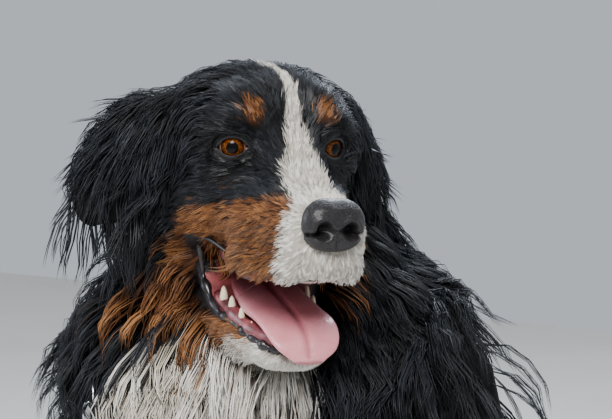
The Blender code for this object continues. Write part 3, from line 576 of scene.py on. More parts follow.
@dataclass(frozen=True)
class Finish:
    """A material made of nodes, with the shader's even values set on its own sockets."""

    name: str
    roughness: float = 0.5
    metallic: float = 0.0
    specular: float = 0.5
    coat: float = 0.0
    coat_roughness: float = 0.1
    sheen: float = 0.0
    sheen_tint: tuple = (1.0, 1.0, 1.0)
    subsurface: float = 0.0
    subsurface_radius: tuple = (0.004, 0.0015, 0.001)
    made: dict = field(default_factory=dict, compare=False)

    def material(self) -> bpy.types.Material:
        """The material, built the first time that it is asked for.

        Returns:
            The material.
        """
        if "material" not in self.made:
            made = bpy.data.materials.new(self.name)
            made.use_nodes = True
            self.made["material"] = made
            self.made["tree"] = made.node_tree
            shader = made.node_tree.nodes["Principled BSDF"]
            self.made["shader"] = shader
            for socket, value in (
                ("Roughness", self.roughness),
                ("Metallic", self.metallic),
                ("Specular IOR Level", self.specular),
                ("Coat Weight", self.coat),
                ("Coat Roughness", self.coat_roughness),
                ("Sheen Weight", self.sheen),
                ("Sheen Tint", (*self.sheen_tint, 1.0)),
                ("Subsurface Weight", self.subsurface),
                ("Subsurface Radius", self.subsurface_radius),
            ):
                shader.inputs[socket].default_value = value
            if self.subsurface:
                shader.inputs["Subsurface Scale"].default_value = 1.0
            self.paint()
        return self.made["material"]

    def paint(self) -> None:
        """Add what varies over the surface; each finish has its own."""

    def node(self, kind: str, settings: dict, values: dict, output: int | str = 0) -> Socket:
        """A node of a type, its settings made first, and its sockets given values or links.

        Args:
            kind: the node's type.
            settings: properties to set.
            values: numbers, colours or Sockets by input name or number.
            output: which output is wanted.

        Returns:
            The output as a Socket.
        """
        tree = self.made["tree"]
        made = tree.nodes.new(kind)
        for key, value in settings.items():
            setattr(made, key, value)
        for key, value in values.items():
            source = value.source if isinstance(value, Socket) else value
            if isinstance(source, bpy.types.NodeSocket):
                tree.links.new(source, made.inputs[key])
            else:
                made.inputs[key].default_value = source
        return Socket(self, made.outputs[output])

    def set(self, socket: str, value: Socket) -> None:
        """Link a value to one of the shader's sockets."""
        self.made["tree"].links.new(value.source, self.made["shader"].inputs[socket])

    def attribute(self, name: str) -> Socket:
        """A number stored at the vertices."""
        return self.node("ShaderNodeAttribute", {"attribute_name": name}, {}, "Fac")

    def place(self) -> Socket:
        """Object coordinates in metres."""
        coordinates = self.node("ShaderNodeTexCoord", {}, {}, "Object")
        return self.node("ShaderNodeMapping", {}, {"Vector": coordinates})

    def noise(self, scale: float, detail: float = 2.0, at: Socket | None = None) -> Socket:
        """Cloudy noise in 0 to 1 with so many waves to a metre."""
        where = at or self.place()
        return self.node("ShaderNodeTexNoise", {}, {"Vector": where, "Scale": scale, "Detail": detail})

    def mix(self, share: Socket | float, low: tuple | Socket, high: tuple | Socket) -> Socket:
        """A colour between two colours.

        Args:
            share: how much of the second, 0 to 1.
            low: the first colour.
            high: the second.

        Returns:
            The colour.
        """
        low = low if isinstance(low, Socket) else (*low, 1.0)
        high = high if isinstance(high, Socket) else (*high, 1.0)
        return self.node("ShaderNodeMix", {"data_type": "RGBA"}, {0: share, 6: low, 7: high}, 2)

    def times(self, first: Socket, second: Socket) -> Socket:
        """One colour multiplied by another."""
        settings = {"data_type": "RGBA", "blend_type": "MULTIPLY"}
        return self.node("ShaderNodeMix", settings, {0: 1.0, 6: first, 7: second}, 2)

    def bump(self, height: Socket, distance: float, strength: float = 1.0) -> None:
        """Raise the surface by a height of at most a distance."""
        values = {"Height": height, "Distance": distance, "Strength": strength}
        self.set("Normal", self.node("ShaderNodeBump", {}, values, "Normal"))


class Colour(Enum):
    """The dog's colours, as linear light; BLACK_LIT is the black with a painted sheen."""

    BLACK = (0.007, 0.0072, 0.0085)
    # BLACK_LIT is the black as it looks where lit, a painted bluish sheen; each lock's random tone sets how
    # much of it it takes.
    BLACK_LIT = (0.042, 0.046, 0.056)
    RUST = (0.170, 0.062, 0.019)
    RUST_PALE = (0.46, 0.225, 0.088)
    WHITE = (0.90, 0.88, 0.84)
    CREAM = (0.74, 0.66, 0.50)
    BARE = (0.022, 0.020, 0.023)
    FLESH = (0.42, 0.13, 0.13)


@dataclass(frozen=True)
class SkinFinish(Finish):
    """Bare hide in the coat's markings, painted darker under the hair as painted shade of the coat's depth,
    black at lips and lids and pink inside the mouth.
    """

    def paint(self) -> None:
        """Mix the markings, darkened as painted shade, then the bare black, then the flesh."""
        tan, white = self.attribute("tan"), self.attribute("white")
        bare, inside = self.attribute("bare"), self.attribute("inside")
        # Painted shade: under the hair the markings are much darker than the coat's own colours, so that gaps
        # between the tufts read as the coat's shaded depth.
        colour = self.mix(tan, (0.003, 0.003, 0.0035), (0.060, 0.022, 0.008))
        colour = self.mix(white, colour, (0.42, 0.39, 0.35))
        colour = self.mix(bare, colour, Colour.BARE.value)
        blotch = self.noise(120.0, 3.0)
        flesh = self.mix(blotch, (0.12, 0.035, 0.040), Colour.FLESH.value)
        self.set("Base Color", self.mix(inside, colour, flesh))
        self.set("Roughness", 0.75 - 0.35 * bare - 0.10 * inside)
        self.bump(self.noise(700.0, 3.0), 0.0006, 0.6)


@dataclass(frozen=True)
class CoatFinish(Finish):
    """Hair in three colours: black with a cool sheen, rust, and white that turns to cream."""

    def paint(self) -> None:
        """Mix the markings by each lock's random tone, which mixes a painted sheen into the black, with
        painted shade towards each blade's root.
        """
        tan, white = self.attribute("tan"), self.attribute("white")
        tone, along = self.attribute("tone"), self.attribute("along")
        cream = self.attribute("cream")
        # BLACK_LIT is a painted sheen of the black, taken by each lock's random tone.
        black = self.mix(tone, Colour.BLACK.value, Colour.BLACK_LIT.value)
        rust = self.mix(tone, Colour.RUST.value, Colour.RUST_PALE.value)
        pale = self.mix(cream, Colour.WHITE.value, Colour.CREAM.value)
        pale = self.mix(tone.step(0.60, 0.05) * 0.60, pale, (0.42, 0.37, 0.30))
        colour = self.mix(white, self.mix(tan, black, rust), pale)
        # Painted shade: each blade is darker towards its root, deep in the coat.
        shade = self.mix(along.step(0.0, 0.55), (0.36, 0.31, 0.27), (1.0, 1.0, 1.0))
        self.set("Base Color", self.times(colour, shade))
        self.set("Roughness", 0.42 + 0.12 * white + 0.08 * tone)


@dataclass(frozen=True)
class NoseFinish(Finish):
    """Moist pebbled leather."""

    def paint(self) -> None:
        """Cells of about a millimetre, raised, with darker seams, and the nostrils painted near black as
        painted shade.
        """
        pebbles = {"Vector": self.place(), "Scale": 760.0}
        cells = self.node("ShaderNodeTexVoronoi", {"feature": "DISTANCE_TO_EDGE"}, pebbles)
        seam = cells.step(0.0, 0.22)
        cloud = self.noise(160.0, 3.0)
        colour = self.mix(seam, (0.007, 0.006, 0.007), (0.038, 0.033, 0.036))
        colour = self.mix(cloud * 0.5, colour, (0.020, 0.018, 0.021))
        # Painted shade: the nostrils' hollows are painted near black and made rough.
        hole = self.attribute("hole")
        self.set("Base Color", self.mix(hole, colour, (0.002, 0.002, 0.002)))
        self.set("Roughness", 0.34 + 0.22 * cloud + 0.4 * hole)
        self.bump(seam + 0.25 * self.noise(1500.0, 2.0), 0.00045, 0.9)


@dataclass(frozen=True)
class TongueFinish(Finish):
    """Wet pink flesh, rough with papillae, with painted shade along its groove and towards its root."""

    def paint(self) -> None:
        """Papillae as small cells; the groove and the root deepen the pink as painted shade."""
        groove, root = self.attribute("groove"), self.attribute("root")
        cloud = self.noise(60.0, 3.0)
        pink = self.mix(cloud, (0.62, 0.235, 0.265), (0.80, 0.39, 0.42))
        # Painted shade: the groove and the root at the back of the mouth are painted darker.
        pink = self.mix(groove * 0.55, pink, (0.42, 0.12, 0.15))
        self.set("Base Color", self.mix(root, pink, (0.22, 0.055, 0.065)))
        buds = self.node("ShaderNodeTexVoronoi", {}, {"Vector": self.place(), "Scale": 900.0})
        self.set("Roughness", 0.30 + 0.16 * cloud)
        self.bump(buds + 0.6 * self.noise(420.0, 3.0), 0.00035, 0.7)


@dataclass(frozen=True)
class EyeFinish(Finish):
    """A wet eye: wide pupil, amber iris with fine spokes and a dark rim, and a dim white."""

    iris: float = 0.74
    pupil: float = 0.34

    def paint(self) -> None:
        """Rings by the angle off the gaze; spokes by noise drawn round it."""
        off = self.attribute("off_axis")
        round_gaze = {0: self.attribute("ring_x"), 1: self.attribute("ring_y"), 2: off * 0.8}
        ring = self.node("ShaderNodeCombineXYZ", {}, round_gaze)
        spokes = self.noise(7.0, 4.0, ring)
        amber = self.mix(spokes.step(0.30, 0.70), (0.060, 0.017, 0.004), (0.27, 0.088, 0.015))
        amber = self.mix(off.step(self.iris * 0.72, self.iris), amber, (0.035, 0.010, 0.003))
        inner = self.mix(off.step(self.pupil, self.pupil + 0.05), (0.002, 0.002, 0.002), amber)
        white = self.mix(self.noise(220.0, 3.0), (0.20, 0.13, 0.10), (0.34, 0.26, 0.22))
        self.set("Base Color", self.mix(off.step(self.iris, self.iris + 0.05), inner, white))


@dataclass(frozen=True)
class EvenFinish(Finish):
    """A colour that drifts between two tones, with a fine grain."""

    low: tuple = (0.02, 0.02, 0.02)
    high: tuple = (0.04, 0.04, 0.04)
    cloud: float = 80.0
    grain: float = 900.0
    height: float = 0.0002
    rough_span: float = 0.15

    def paint(self) -> None:
        """Two scales of noise for tone, gloss and grain."""
        cloud = self.noise(self.cloud, 3.0)
        self.set("Base Color", self.mix(cloud.step(0.25, 0.75), self.low, self.high))
        self.set("Roughness", self.roughness + self.rough_span * (cloud - 0.5))
        self.bump(self.noise(self.grain, 3.0), self.height, 0.7)


@dataclass(frozen=True)
class ToothFinish(Finish):
    """Enamel, ivory at the tip and stained towards the gum."""

    def paint(self) -> None:
        """Tone by the share of the tooth's height."""
        along = self.attribute("along")
        stain = self.mix(self.noise(260.0, 3.0), (0.42, 0.27, 0.10), (0.62, 0.47, 0.24))
        self.set("Base Color", self.mix(along.step(0.15, 0.75), stain, (0.80, 0.72, 0.54)))


SKIN = SkinFinish("dog_skin", specular=0.35)
LID_SKIN = SkinFinish("lid_skin", specular=0.5, coat=0.25, coat_roughness=0.2)
COAT = CoatFinish("dog_coat", specular=0.50, sheen=0.06, sheen_tint=(0.62, 0.70, 0.90))
NOSE_LEATHER = NoseFinish("nose_leather", specular=0.6, coat=0.35, coat_roughness=0.25)
TONGUE_FLESH = TongueFinish("tongue_flesh", coat=0.45, coat_roughness=0.18, subsurface=0.25)
EYE_WET = EyeFinish("eye_wet", roughness=0.30, specular=0.05, coat=0.55, coat_roughness=0.01)
LIP_SKIN = EvenFinish(
    "lip_skin",
    roughness=0.32,
    coat=0.5,
    coat_roughness=0.15,
    low=(0.008, 0.007, 0.008),
    high=(0.040, 0.034, 0.038),
)
GUM_FLESH = EvenFinish(
    "gum_flesh",
    roughness=0.35,
    coat=0.6,
    coat_roughness=0.15,
    low=(0.07, 0.02, 0.025),
    high=(0.40, 0.13, 0.14),
)
ENAMEL = ToothFinish("enamel", roughness=0.28, coat=0.4, coat_roughness=0.12)
HORN = EvenFinish(
    "claw_horn", roughness=0.38, low=(0.015, 0.013, 0.012), high=(0.07, 0.055, 0.045), cloud=300.0
)
STRAP = EvenFinish("collar_leather", roughness=0.42, low=(0.010, 0.010, 0.012), high=(0.030, 0.030, 0.034))
STEEL = EvenFinish(
    "tag_steel", roughness=0.26, metallic=1.0, low=(0.62, 0.64, 0.67), high=(0.86, 0.88, 0.90), height=0.00004
)
FLOOR_PAINT = EvenFinish(
    "floor_paint", roughness=0.62, low=(0.70, 0.69, 0.67), high=(0.76, 0.75, 0.73), cloud=2.0, grain=260.0
)


def dress(piece: bpy.types.Object, finish: Finish, slot: str, *nodes: str) -> bpy.types.Object:
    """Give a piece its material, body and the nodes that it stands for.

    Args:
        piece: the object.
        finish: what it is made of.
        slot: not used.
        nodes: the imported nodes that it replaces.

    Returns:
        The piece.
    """
    piece.data.materials.clear()
    piece.data.materials.append(finish.material())
    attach(piece, "root")
    if nodes:
        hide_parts(*nodes)
    LOG.info("%s: %d faces", piece.name, len(piece.data.polygons))
    return piece


STRAP_PLACE = np.array([0, -0.066, 0.658])
STRAP_UP = np.array([0, -0.304, 0.953])
TAG_TURN = math.radians(40.0)
GUIDE_REACH = 7 * MM
BATCH = 3000


def head_shapes() -> list[Shape]:
    """The skull, muzzle, jaw, lips and cheeks in the head's own frame.

    Returns:
        Closed shapes that overlap.
    """
    shapes = [
        Shape.head_loft(CRANIUM),
        Shape.head_loft(BRIDGE, 2.2),
        Shape.head_loft(MUZZLE, 2.5),
        Shape.head_loft(JAW, 2.4),
    ]
    balls = (
        ((31, -1, 21), (21, 15, 12)),
        ((44, 54, -40), (24, 52, 46)),
        ((40, 78, -88), (24, 34, 44)),
        ((47, 14, -14), (16, 15, 15)),
        ((34, -38, -74), (13, 36, 16)),
        ((22, -74, -70), (16, 24, 16)),
    )
    for (x, y, z), radii in balls:
        for side in (1, -1):
            shapes.append(Shape.ball(np.array([side * x, y, z]) * MM, np.array(radii) * MM))
    shapes.append(Shape.ball(np.array([0, 78, -52]) * MM, np.array([56, 50, 56]) * MM))
    return shapes


def ear_shape(side: int) -> Shape:
    """A hanging ear: a leaf carried out from the skull and down, its edges curled to a cup.

    Args:
        side: 1 for the left, -1 for the right.

    Returns:
        The closed shape in the head's frame.
    """
    rows = through(EAR, 60) * MM
    rows[:, 0] *= side
    centres = rows[:, :3]
    along = unit(np.gradient(centres, axis=0))
    chord = np.array([0.60 * side, 0.72, -0.36])
    chord = unit(chord - along * (along @ chord)[:, None])
    out = np.cross(along, chord) * side
    turn = np.linspace(0, 2 * math.pi, 48, endpoint=False)[None, :, None]
    width, thick, curl = (rows[:, k][:, None, None] for k in (3, 4, 5))
    lift = thick * np.sin(turn) - curl * np.cos(turn) ** 2
    return Shape.from_rings(centres[:, None] + width * np.cos(turn) * chord[:, None] + lift * out[:, None])


def paw_shapes(side: int, x: float, y: float) -> list[Shape]:
    """Four arched toes before a broad pad, with the middle two foremost.

    Args:
        side: 1 for the left, -1 for the right.
        x: how far the foot stands from the middle.
        y: how far back it stands.

    Returns:
        Closed shapes that overlap.
    """
    shapes = [Shape.ball((side * x, y - 0.012, 0.027), (0.038, 0.044, 0.031))]
    for place, ahead in TOES:
        shapes.append(Shape.ball((side * (x + place), y - ahead, 0.020), (0.0145, 0.028, 0.022)))
    return shapes


def body_shapes() -> list[Shape]:
    """The trunk, neck, legs, feet and tail at the depth of the skin.

    Returns:
        Closed shapes that overlap.
    """
    shapes = [Shape.loft(TORSO), Shape.loft(NECK), Shape.loft(TAIL)]
    for side in (1, -1):
        for rows in (SHOULDER, THIGH, FORELEG, SHANK, HIND_FOOT):
            shapes.append(Shape.loft(rows, mirror=side))
        shapes += paw_shapes(side, *FORE_PAW) + paw_shapes(side, *HIND_PAW)
    return shapes


@dataclass
class Lie:
    """Which way the hair lies, how long and how deep it is, from guides spread over the dog.

    Each guide holds a place, a way, a length, a depth at the tips and a wave, in metres.
    """

    places: Array
    ways: Array
    sizes: Array

    @classmethod
    def of_dog(cls) -> "Lie":
        """Guides along every loft, and listed over the head.

        Returns:
            The guides in the dog's frame.
        """
        rows: list[Array] = []
        # Loft, arc in degrees, stretch, mix of ways (along, down, out), length, wave.
        plan = (
            (NECK, (0, 360), (0.05, 0.42), (-1.0, 0.35, 0.05), 0.095, 1.0),
            (NECK, (0, 360), (0.46, 0.95), (-1.0, 0.45, 0.0), 0.060, 0.9),
            (TORSO, (15, 165), (0.00, 0.30), (0.1, 1.0, 0.05), 0.105, 1.0),
            (TORSO, (170, 370), (0.10, 1.00), (1.0, 0.15, 0.0), 0.085, 0.6),
            (TORSO, (15, 165), (0.35, 1.00), (0.6, 0.6, 0.0), 0.060, 0.6),
            (TAIL, (0, 360), (0.02, 1.00), (1.0, 0.0, 0.12), 0.085, 0.9),
        )
        for loft, *rest in plan:
            rows.append(cls.over(loft, 1, *rest))
        for side in (1, -1):
            rows.append(cls.over(SHOULDER, side, (-75, 75), (0.0, 0.80), (0.5, 0.8, 0.0), 0.080, 0.7))
            rows.append(cls.over(THIGH, side, (-60, 110), (0.0, 0.85), (-0.5, 1.0, 0.0), 0.085, 0.7))
            rows.append(cls.over(FORELEG, side, (0, 360), (0.0, 1.0), (1.0, 0.1, 0.0), 0.020, 0.1, 8))
            rows.append(cls.over(FORELEG, side, (245, 295), (0.05, 0.62), (0.8, 0.3, 0.3), 0.062, 0.6))
            rows.append(cls.over(SHANK, side, (0, 360), (0.0, 1.0), (0.8, 0.3, 0.0), 0.026, 0.2, 8))
            rows.append(cls.over(HIND_FOOT, side, (0, 360), (0.0, 1.0), (1.0, 0.0, 0.0), 0.014, 0.1, 8))
            for x, y in (FORE_PAW, HIND_PAW):
                for across in (-0.03, 0.0, 0.03):
                    for ahead, up in ((0.0, 0.045), (0.04, 0.035), (0.07, 0.015)):
                        place = (side * x + across, y - ahead, up)
                        rows.append(np.array([[*place, 0.2 * across, -0.9, -0.45, 0.010, 0.003, 0.0]]))
        body = np.vstack(rows)
        turn = np.array(head_matrix().to_3x3())
        head = cls.over_head()
        head[:, :3] = head[:, :3] @ turn.T + np.array(HEAD_PLACE)
        head[:, 3:6] = head[:, 3:6] @ turn.T
        rows = np.vstack([body, head])
        rows[:, :3] += np.array(SHIFT)
        return cls(rows[:, :3], unit(rows[:, 3:6]), rows[:, 6:9])

    @staticmethod
    def over(
        loft: list,
        side: int,
        arc: tuple,
        stretch: tuple,
        mix: tuple,
        length: float,
        wave: float,
        around: int = 12,
    ) -> Array:
        """Guides over a loft within an arc of its section and a stretch of its line.

        Args:
            loft: the stations.
            side: 1 for the left, -1 for the right.
            arc: the first and last angle round the section, in degrees.
            stretch: the first and last share of the line.
            mix: shares of the ways along, down and out.
            length: the hair's length.
            wave: how much it waves.
            around: guides round the section.

        Returns:
            Rows of place, way, length, depth and wave.
        """
        line = through(loft, 60)
        line[:, 0] *= side
        ways = unit(np.gradient(line[:, :3], axis=0))
        pick = np.unique(np.round(np.linspace(stretch[0], stretch[1], 12) * 59).astype(int))
        line, ways = line[pick], ways[pick]
        across = unit(np.array([1.0, 0, 0]) - ways * ways[:, :1])
        deep = np.cross(ways, across)
        angle = np.radians(np.linspace(arc[0], arc[1], around))
        angle = angle if side > 0 else math.pi - angle
        cosine, sine = np.cos(angle)[None, :, None], np.sin(angle)[None, :, None]
        out = cosine * across[:, None] + sine * deep[:, None]
        place = line[:, None, :3] + line[:, None, 3:4] * cosine * across[:, None]
        place = place + line[:, None, 4:5] * sine * deep[:, None]
        flow = ways[:, None] * mix[0] + np.array([0, 0, -1.0]) * mix[1] + out * mix[2]
        depth = np.broadcast_to(line[:, None, 5:6], place.shape[:2] + (1,))
        even = np.broadcast_to(np.array([length, 0.0, wave]), place.shape[:2] + (3,)).copy()
        even[:, :, 1:2] = depth
        return np.concatenate([place, flow, even], axis=-1).reshape(-1, 9)

    @staticmethod
    def over_head() -> Array:
        """Guides over the head's left half and their mirror images, in the head's frame.

        Returns:
            Rows of place, way, length, depth and wave.
        """
        # Place in mm, way, length in mm, depth in mm.
        rows = (
            (0, -60, -2, 0, 1, 0.25, 7, 2.0),
            (0, -35, 0, 0, 1, 0.45, 8, 2.2),
            (0, -12, 22, 0, 0.8, 0.8, 9, 2.6),
            (0, 10, 46, 0.1, 0.9, 0.6, 12, 3.2),
            (0, 45, 55, 0, 1, 0, 16, 4.0),
            (0, 85, 48, 0, 0.9, -0.4, 24, 7.0),
            (0, 115, 20, 0, 0.5, -0.9, 40, 14.0),
            (14, -70, -10, 0.3, 1, 0.0, 7, 2.0),
            (20, -45, -8, 0.3, 1, 0.1, 8, 2.2),
            (22, -20, 10, 0.4, 0.8, 0.4, 8, 2.2),
            (28, -8, 34, 0.5, 0.5, 0.8, 9, 2.6),
            (40, 4, 20, 0.9, 0.5, 0.3, 9, 2.4),
            (35, 22, 48, 0.5, 0.8, 0.3, 13, 3.2),
            (52, 32, 30, 0.8, 0.7, 0.0, 14, 3.4),
            (46, 55, 44, 0.8, 0.6, -0.1, 30, 8.0),
            (62, 50, 26, 0.8, 0.5, -0.3, 32, 9.0),
            (34, 85, 46, 0.6, 0.8, -0.3, 32, 9.0),
            (20, -5, 0, -0.3, 0.5, 0.8, 7, 2.0),
            (30, -12, -14, 0.5, 0.8, -0.4, 8, 2.2),
            (34, -85, -40, 0.2, 1, -0.5, 8, 2.2),
            (36, -60, -35, 0.2, 1, -0.3, 9, 2.4),
            (38, -60, -60, 0.2, 0.9, -0.7, 10, 2.6),
            (46, -20, -35, 0.3, 1, -0.2, 10, 2.6),
            (48, -20, -60, 0.2, 1, -0.6, 12, 3.0),
            (52, 10, -25, 0.4, 1, -0.2, 11, 2.8),
            (60, 20, -50, 0.3, 1, -0.3, 15, 4.0),
            (62, 50, -30, 0.4, 1, -0.3, 20, 5.0),
            (48, 14, -60, 0.3, 1, -0.2, 9, 2.2),
            (50, 38, -60, 0.3, 1, -0.2, 10, 2.4),
            (52, 52, -84, 0.3, 1, -0.2, 12, 2.6),
            (46, 34, -102, 0.2, 1, -0.2, 11, 2.4),
            (43, -4, -118, 0.1, 1, -0.1, 10, 2.4),
            (66, 60, -60, 0.3, 0.9, -0.6, 32, 9.0),
            (60, 90, -80, 0.3, 0.8, -0.8, 48, 14.0),
            (60, 85, -40, 0.3, 0.9, -0.5, 36, 10.0),
            (42, 60, -115, 0.1, 0.9, -0.6, 36, 9.0),
            (42, 20, -130, 0.1, 1, -0.3, 16, 4.0),
            (38, -15, -135, 0.1, 1, -0.2, 12, 3.0),
            (28, -40, -140, 0.1, 1, -0.2, 11, 2.6),
            (0, -60, -142, 0.0, 1, -0.3, 9, 2.2),
            (0, -30, -152, 0.0, 1, 0.0, 14, 3.0),
            (0, 10, -152, 0.0, 1, 0.0, 24, 5.0),
            (0, 45, -135, 0.0, 1, -0.3, 40, 10.0),
            (10, -95, -75, 0.1, 0.3, -1.0, 7, 2.0),
            (25, -88, -60, 0.4, 0.8, -0.6, 8, 2.0),
        )
        made = np.array(rows, float)
        table = np.zeros((len(made), 9))
        table[:, :3] = made[:, :3] * MM
        table[:, 3:6] = made[:, 3:6]
        table[:, 6:8] = made[:, 6:8] * MM
        table[:, 8] = smooth_step(0.018, 0.045, table[:, 6])
        ears = through(EAR, 14)
        leaf = []
        for k, (x, y, z, half, _, _) in enumerate(ears):
            fall = k / (len(ears) - 1)
            for share in (-0.9, -0.5, 0.0, 0.5, 0.9):
                place = [x + 0.60 * half * share, y + 0.72 * half * share, z - 0.36 * half * share]
                place = np.array(place) * MM
                way = (0.62 - 0.75 * fall + 0.12 * share, 0.06 + 0.16 * share, -0.45 - 0.8 * fall)
                length = (34 + 44 * fall) * MM
                leaf.append((*place, *way, length, (8 + 7 * fall) * MM, 1.0))
        table = np.vstack([table, np.array(leaf)])
        other = table * np.array([-1, 1, 1, -1, 1, 1, 1, 1, 1])
        return np.vstack([table, other])

    def at(self, points: Array) -> tuple[Array, Array]:
        """The way and the sizes at places, as a mean weighted by 1 / (distance^2 + (7 mm)^2)^2.

        Args:
            points: places in the dog.

        Returns:
            Ways of length one, and rows of length, depth and wave.
        """
        ways, sizes = np.zeros_like(points), np.zeros_like(points)
        for start in range(0, len(points), BATCH):
            some = points[start : start + BATCH]
            far = (some**2).sum(1)[:, None] + (self.places**2).sum(1)[None] - 2 * some @ self.places.T
            weight = 1.0 / (np.maximum(far, 0) + GUIDE_REACH**2) ** 2
            weight /= weight.sum(1, keepdims=True)
            ways[start : start + BATCH] = weight @ self.ways
            sizes[start : start + BATCH] = weight @ self.sizes
        return unit(ways), sizes


def head_points(points: Array) -> Array:
    """Places of the dog in the head's own millimetres."""
    return moved(points, HEAD.inverted()) / MM


def wobble(points: Array, scale: float, seed: float = 0.0) -> Array:
    """Smooth noise in about -1 to 1: three crossed sines of each axis at a wave length.

    Args:
        points: places in the dog.
        scale: the wave length.
        seed: a number that shifts the waves.

    Returns:
        A number for each place.
    """
    p = points / scale * 2 * math.pi
    x, y, z = p[:, 0] + seed, p[:, 1] + 2.1 * seed, p[:, 2] - 1.3 * seed
    total = np.sin(x + 1.7 * np.sin(0.6 * y))
    total = total + np.sin(0.8 * y + 1.3 * np.sin(0.7 * z))
    total = total + np.sin(0.9 * z + np.sin(x))
    return total / 3.0


@dataclass
class Markings:
    """White, rust and black over the dog, worked out from places alone."""

    white: Array
    tan: Array
    cream: Array

    @classmethod
    def at(cls, points: Array) -> "Markings":
        """The markings at places: the head's in its own frame, the body's by height and side.

        Args:
            points: places in the dog.

        Returns:
            White, tan and cream for each place, 0 to 1.
        """
        local = head_points(points)
        x, y, z = local.T
        ragged = wobble(points, 0.017, 1.0) + 0.6 * wobble(points, 0.0047, 4.0)
        on_head = smooth_step(-6, 6, -(y - 86) * 0.953 + z * 0.303) * smooth_step(-172, -160, z)
        on_head = on_head * (np.linalg.norm(local - np.array([0, 20, -40]), axis=1) < 185)

        blaze_y = (-104, -94, -88, -70, -50, -40, -26, -8, 14, 60, 88)
        blaze = np.interp(y, blaze_y, (58, 41, 27, 20, 18, 15.5, 9, 4.5, 3.5, 3, 0))
        front = smooth_step(-52, -42, z + 80 * smooth_step(-74, -90, y))
        white = smooth_step(1.6, -1.6, np.abs(x - 2.5) - blaze - 1.3 * ragged) * front * (y < 92)
        edge = np.interp(y, (-60, -47, 14, 47, 73, 110), (-25, -31, -42, -62, -76, -100))
        tan = smooth_step(3.0, -3.0, z - edge - 2.0 * ragged)
        brow = ((np.abs(x) - 27) / 9.0) ** 2 + ((z - 26) / 8.5) ** 2 + ((y + 6) / 26) ** 2
        tan = np.maximum(tan, smooth_step(1.35, 0.55, brow + 0.16 * ragged))
        fleck = ((np.abs(x) - 42) / 5.0) ** 2 + ((z + 24) / 4.0) ** 2
        tan = np.maximum(tan, 0.35 * smooth_step(1.5, 0.3, fleck + 0.3 * ragged) * (y < 30))
        white = np.maximum(white, smooth_step(-76, -94, y - 4 * ragged) * smooth_step(-24, -34, z))
        white = np.maximum(white, smooth_step(34, 27, np.abs(x) + 4 * ragged) * smooth_step(-126, -138, z))
        inner_ear = ((np.abs(x) - 100) / 30) ** 2 + ((y - 70) / 40) ** 2
        tan = tan * (1 - 0.9 * smooth_step(1.4, 0.9, inner_ear) * (np.abs(x) > 74))
        limit = 63 - 16 * smooth_step(-88, -125, z) + 4 * ragged
        tan = tan * smooth_step(limit, limit - 9, np.abs(x))
        # Painted shade: no tan low on the jaw's left side, which lies in shadow, so the hair there is black.
        tan = tan * (1 - smooth_step(-4, 14, x) * smooth_step(-100, -114, z))

        body = points - np.array(SHIFT)
        bx, by, bz = body.T
        rough = wobble(points, 0.055, 3.0)
        middle = np.interp(bz, (0.58, 0.66, 0.72), (0.006, 0.019, 0.036))
        bib_z = (0.32, 0.38, 0.46, 0.54, 0.60, 0.66, 0.72)
        half = np.interp(bz, bib_z, (0.020, 0.036, 0.056, 0.063, 0.062, 0.050, 0.044))
        forward = smooth_step(-0.075, -0.100, by + 0.01 * rough)
        bib = smooth_step(0.010, -0.010, np.abs(bx - middle) - half - 0.009 * rough) * forward
        top = 0.676 + 0.020 * smooth_step(-0.01, 0.03, bx) + 0.006 * rough
        bib = bib * smooth_step(0.315, 0.34, bz) * smooth_step(top + 0.006, top - 0.006, bz)
        feet = smooth_step(0.105, 0.092, bz + 0.008 * rough) * (by < 0.0)
        hind = smooth_step(0.062, 0.050, bz + 0.006 * rough) * (np.abs(bx) > 0.10) * (by < 0.20)
        tip = smooth_step(0.185, 0.205, bx + 0.01 * rough) * smooth_step(0.38, 0.40, by)
        body_white = np.maximum.reduce([bib, feet, hind, tip])
        chest = smooth_step(0.028, 0.012, np.abs(bx - middle) - half - 0.008 * rough) * forward
        chest = chest * smooth_step(0.52, 0.47, bz) * smooth_step(0.36, 0.40, bz)
        throat = smooth_step(0.050, 0.030, np.abs(bx - middle) - half) * forward
        throat = throat * smooth_step(0.684, 0.700, bz)
        throat = throat * smooth_step(0.05, 0.02, bx) * smooth_step(0.735, 0.715, bz) * (np.abs(x) < 62)
        fore = smooth_step(0.300, 0.270, bz + 0.01 * rough) * (by < 0.02) * (np.abs(bx) > 0.05)
        shank = smooth_step(0.150, 0.125, bz + 0.01 * rough) * (np.abs(bx) > 0.10)
        shank = shank * smooth_step(0.20, 0.16, by)
        under = smooth_step(0.07, 0.05, bz) * smooth_step(0.25, 0.28, by) * (bx < 0.15)
        body_tan = np.maximum.reduce([chest, throat, fore, shank, 0.7 * under])

        white = white * on_head + body_white * (1 - on_head)
        tan = tan * on_head + body_tan * (1 - on_head)
        cream = np.clip(0.30 + 0.45 * wobble(points, 0.041, 5.0), 0, 1) * (1 - on_head) + 0.12 * on_head
        return cls(np.clip(white, 0, 1), np.clip(tan, 0, 1), cream)


def polyline_distance(points: Array, line: Array) -> Array:
    """The distance from each place to a line of points.

    Args:
        points: the places.
        line: the line's points.

    Returns:
        A distance for each place.
    """
    found = np.full(len(points), 1e9)
    for a, b in zip(line[:-1], line[1:]):
        span = b - a
        share = np.clip(((points - a) @ span) / (span @ span), 0, 1)
        found = np.minimum(found, np.linalg.norm(points - a - share[:, None] * span, axis=1))
    return found


# The edges of the lips on the left, in the head's millimetres, from the corner to the front.
UPPER_LIP = [
    (47, 40, -66),
    (49, 18, -76),
    (47, -8, -84),
    (43, -35, -90),
    (36, -62, -89),
    (22, -84, -86),
    (0, -92, -82),
]
LOWER_LIP = [
    (47, 40, -68),
    (46, 24, -92),
    (42, 4, -110),
    (37, -18, -118),
    (31, -40, -125),
    (20, -58, -130),
    (0, -66, -131),
]
CORNER = (46, 34, -78)


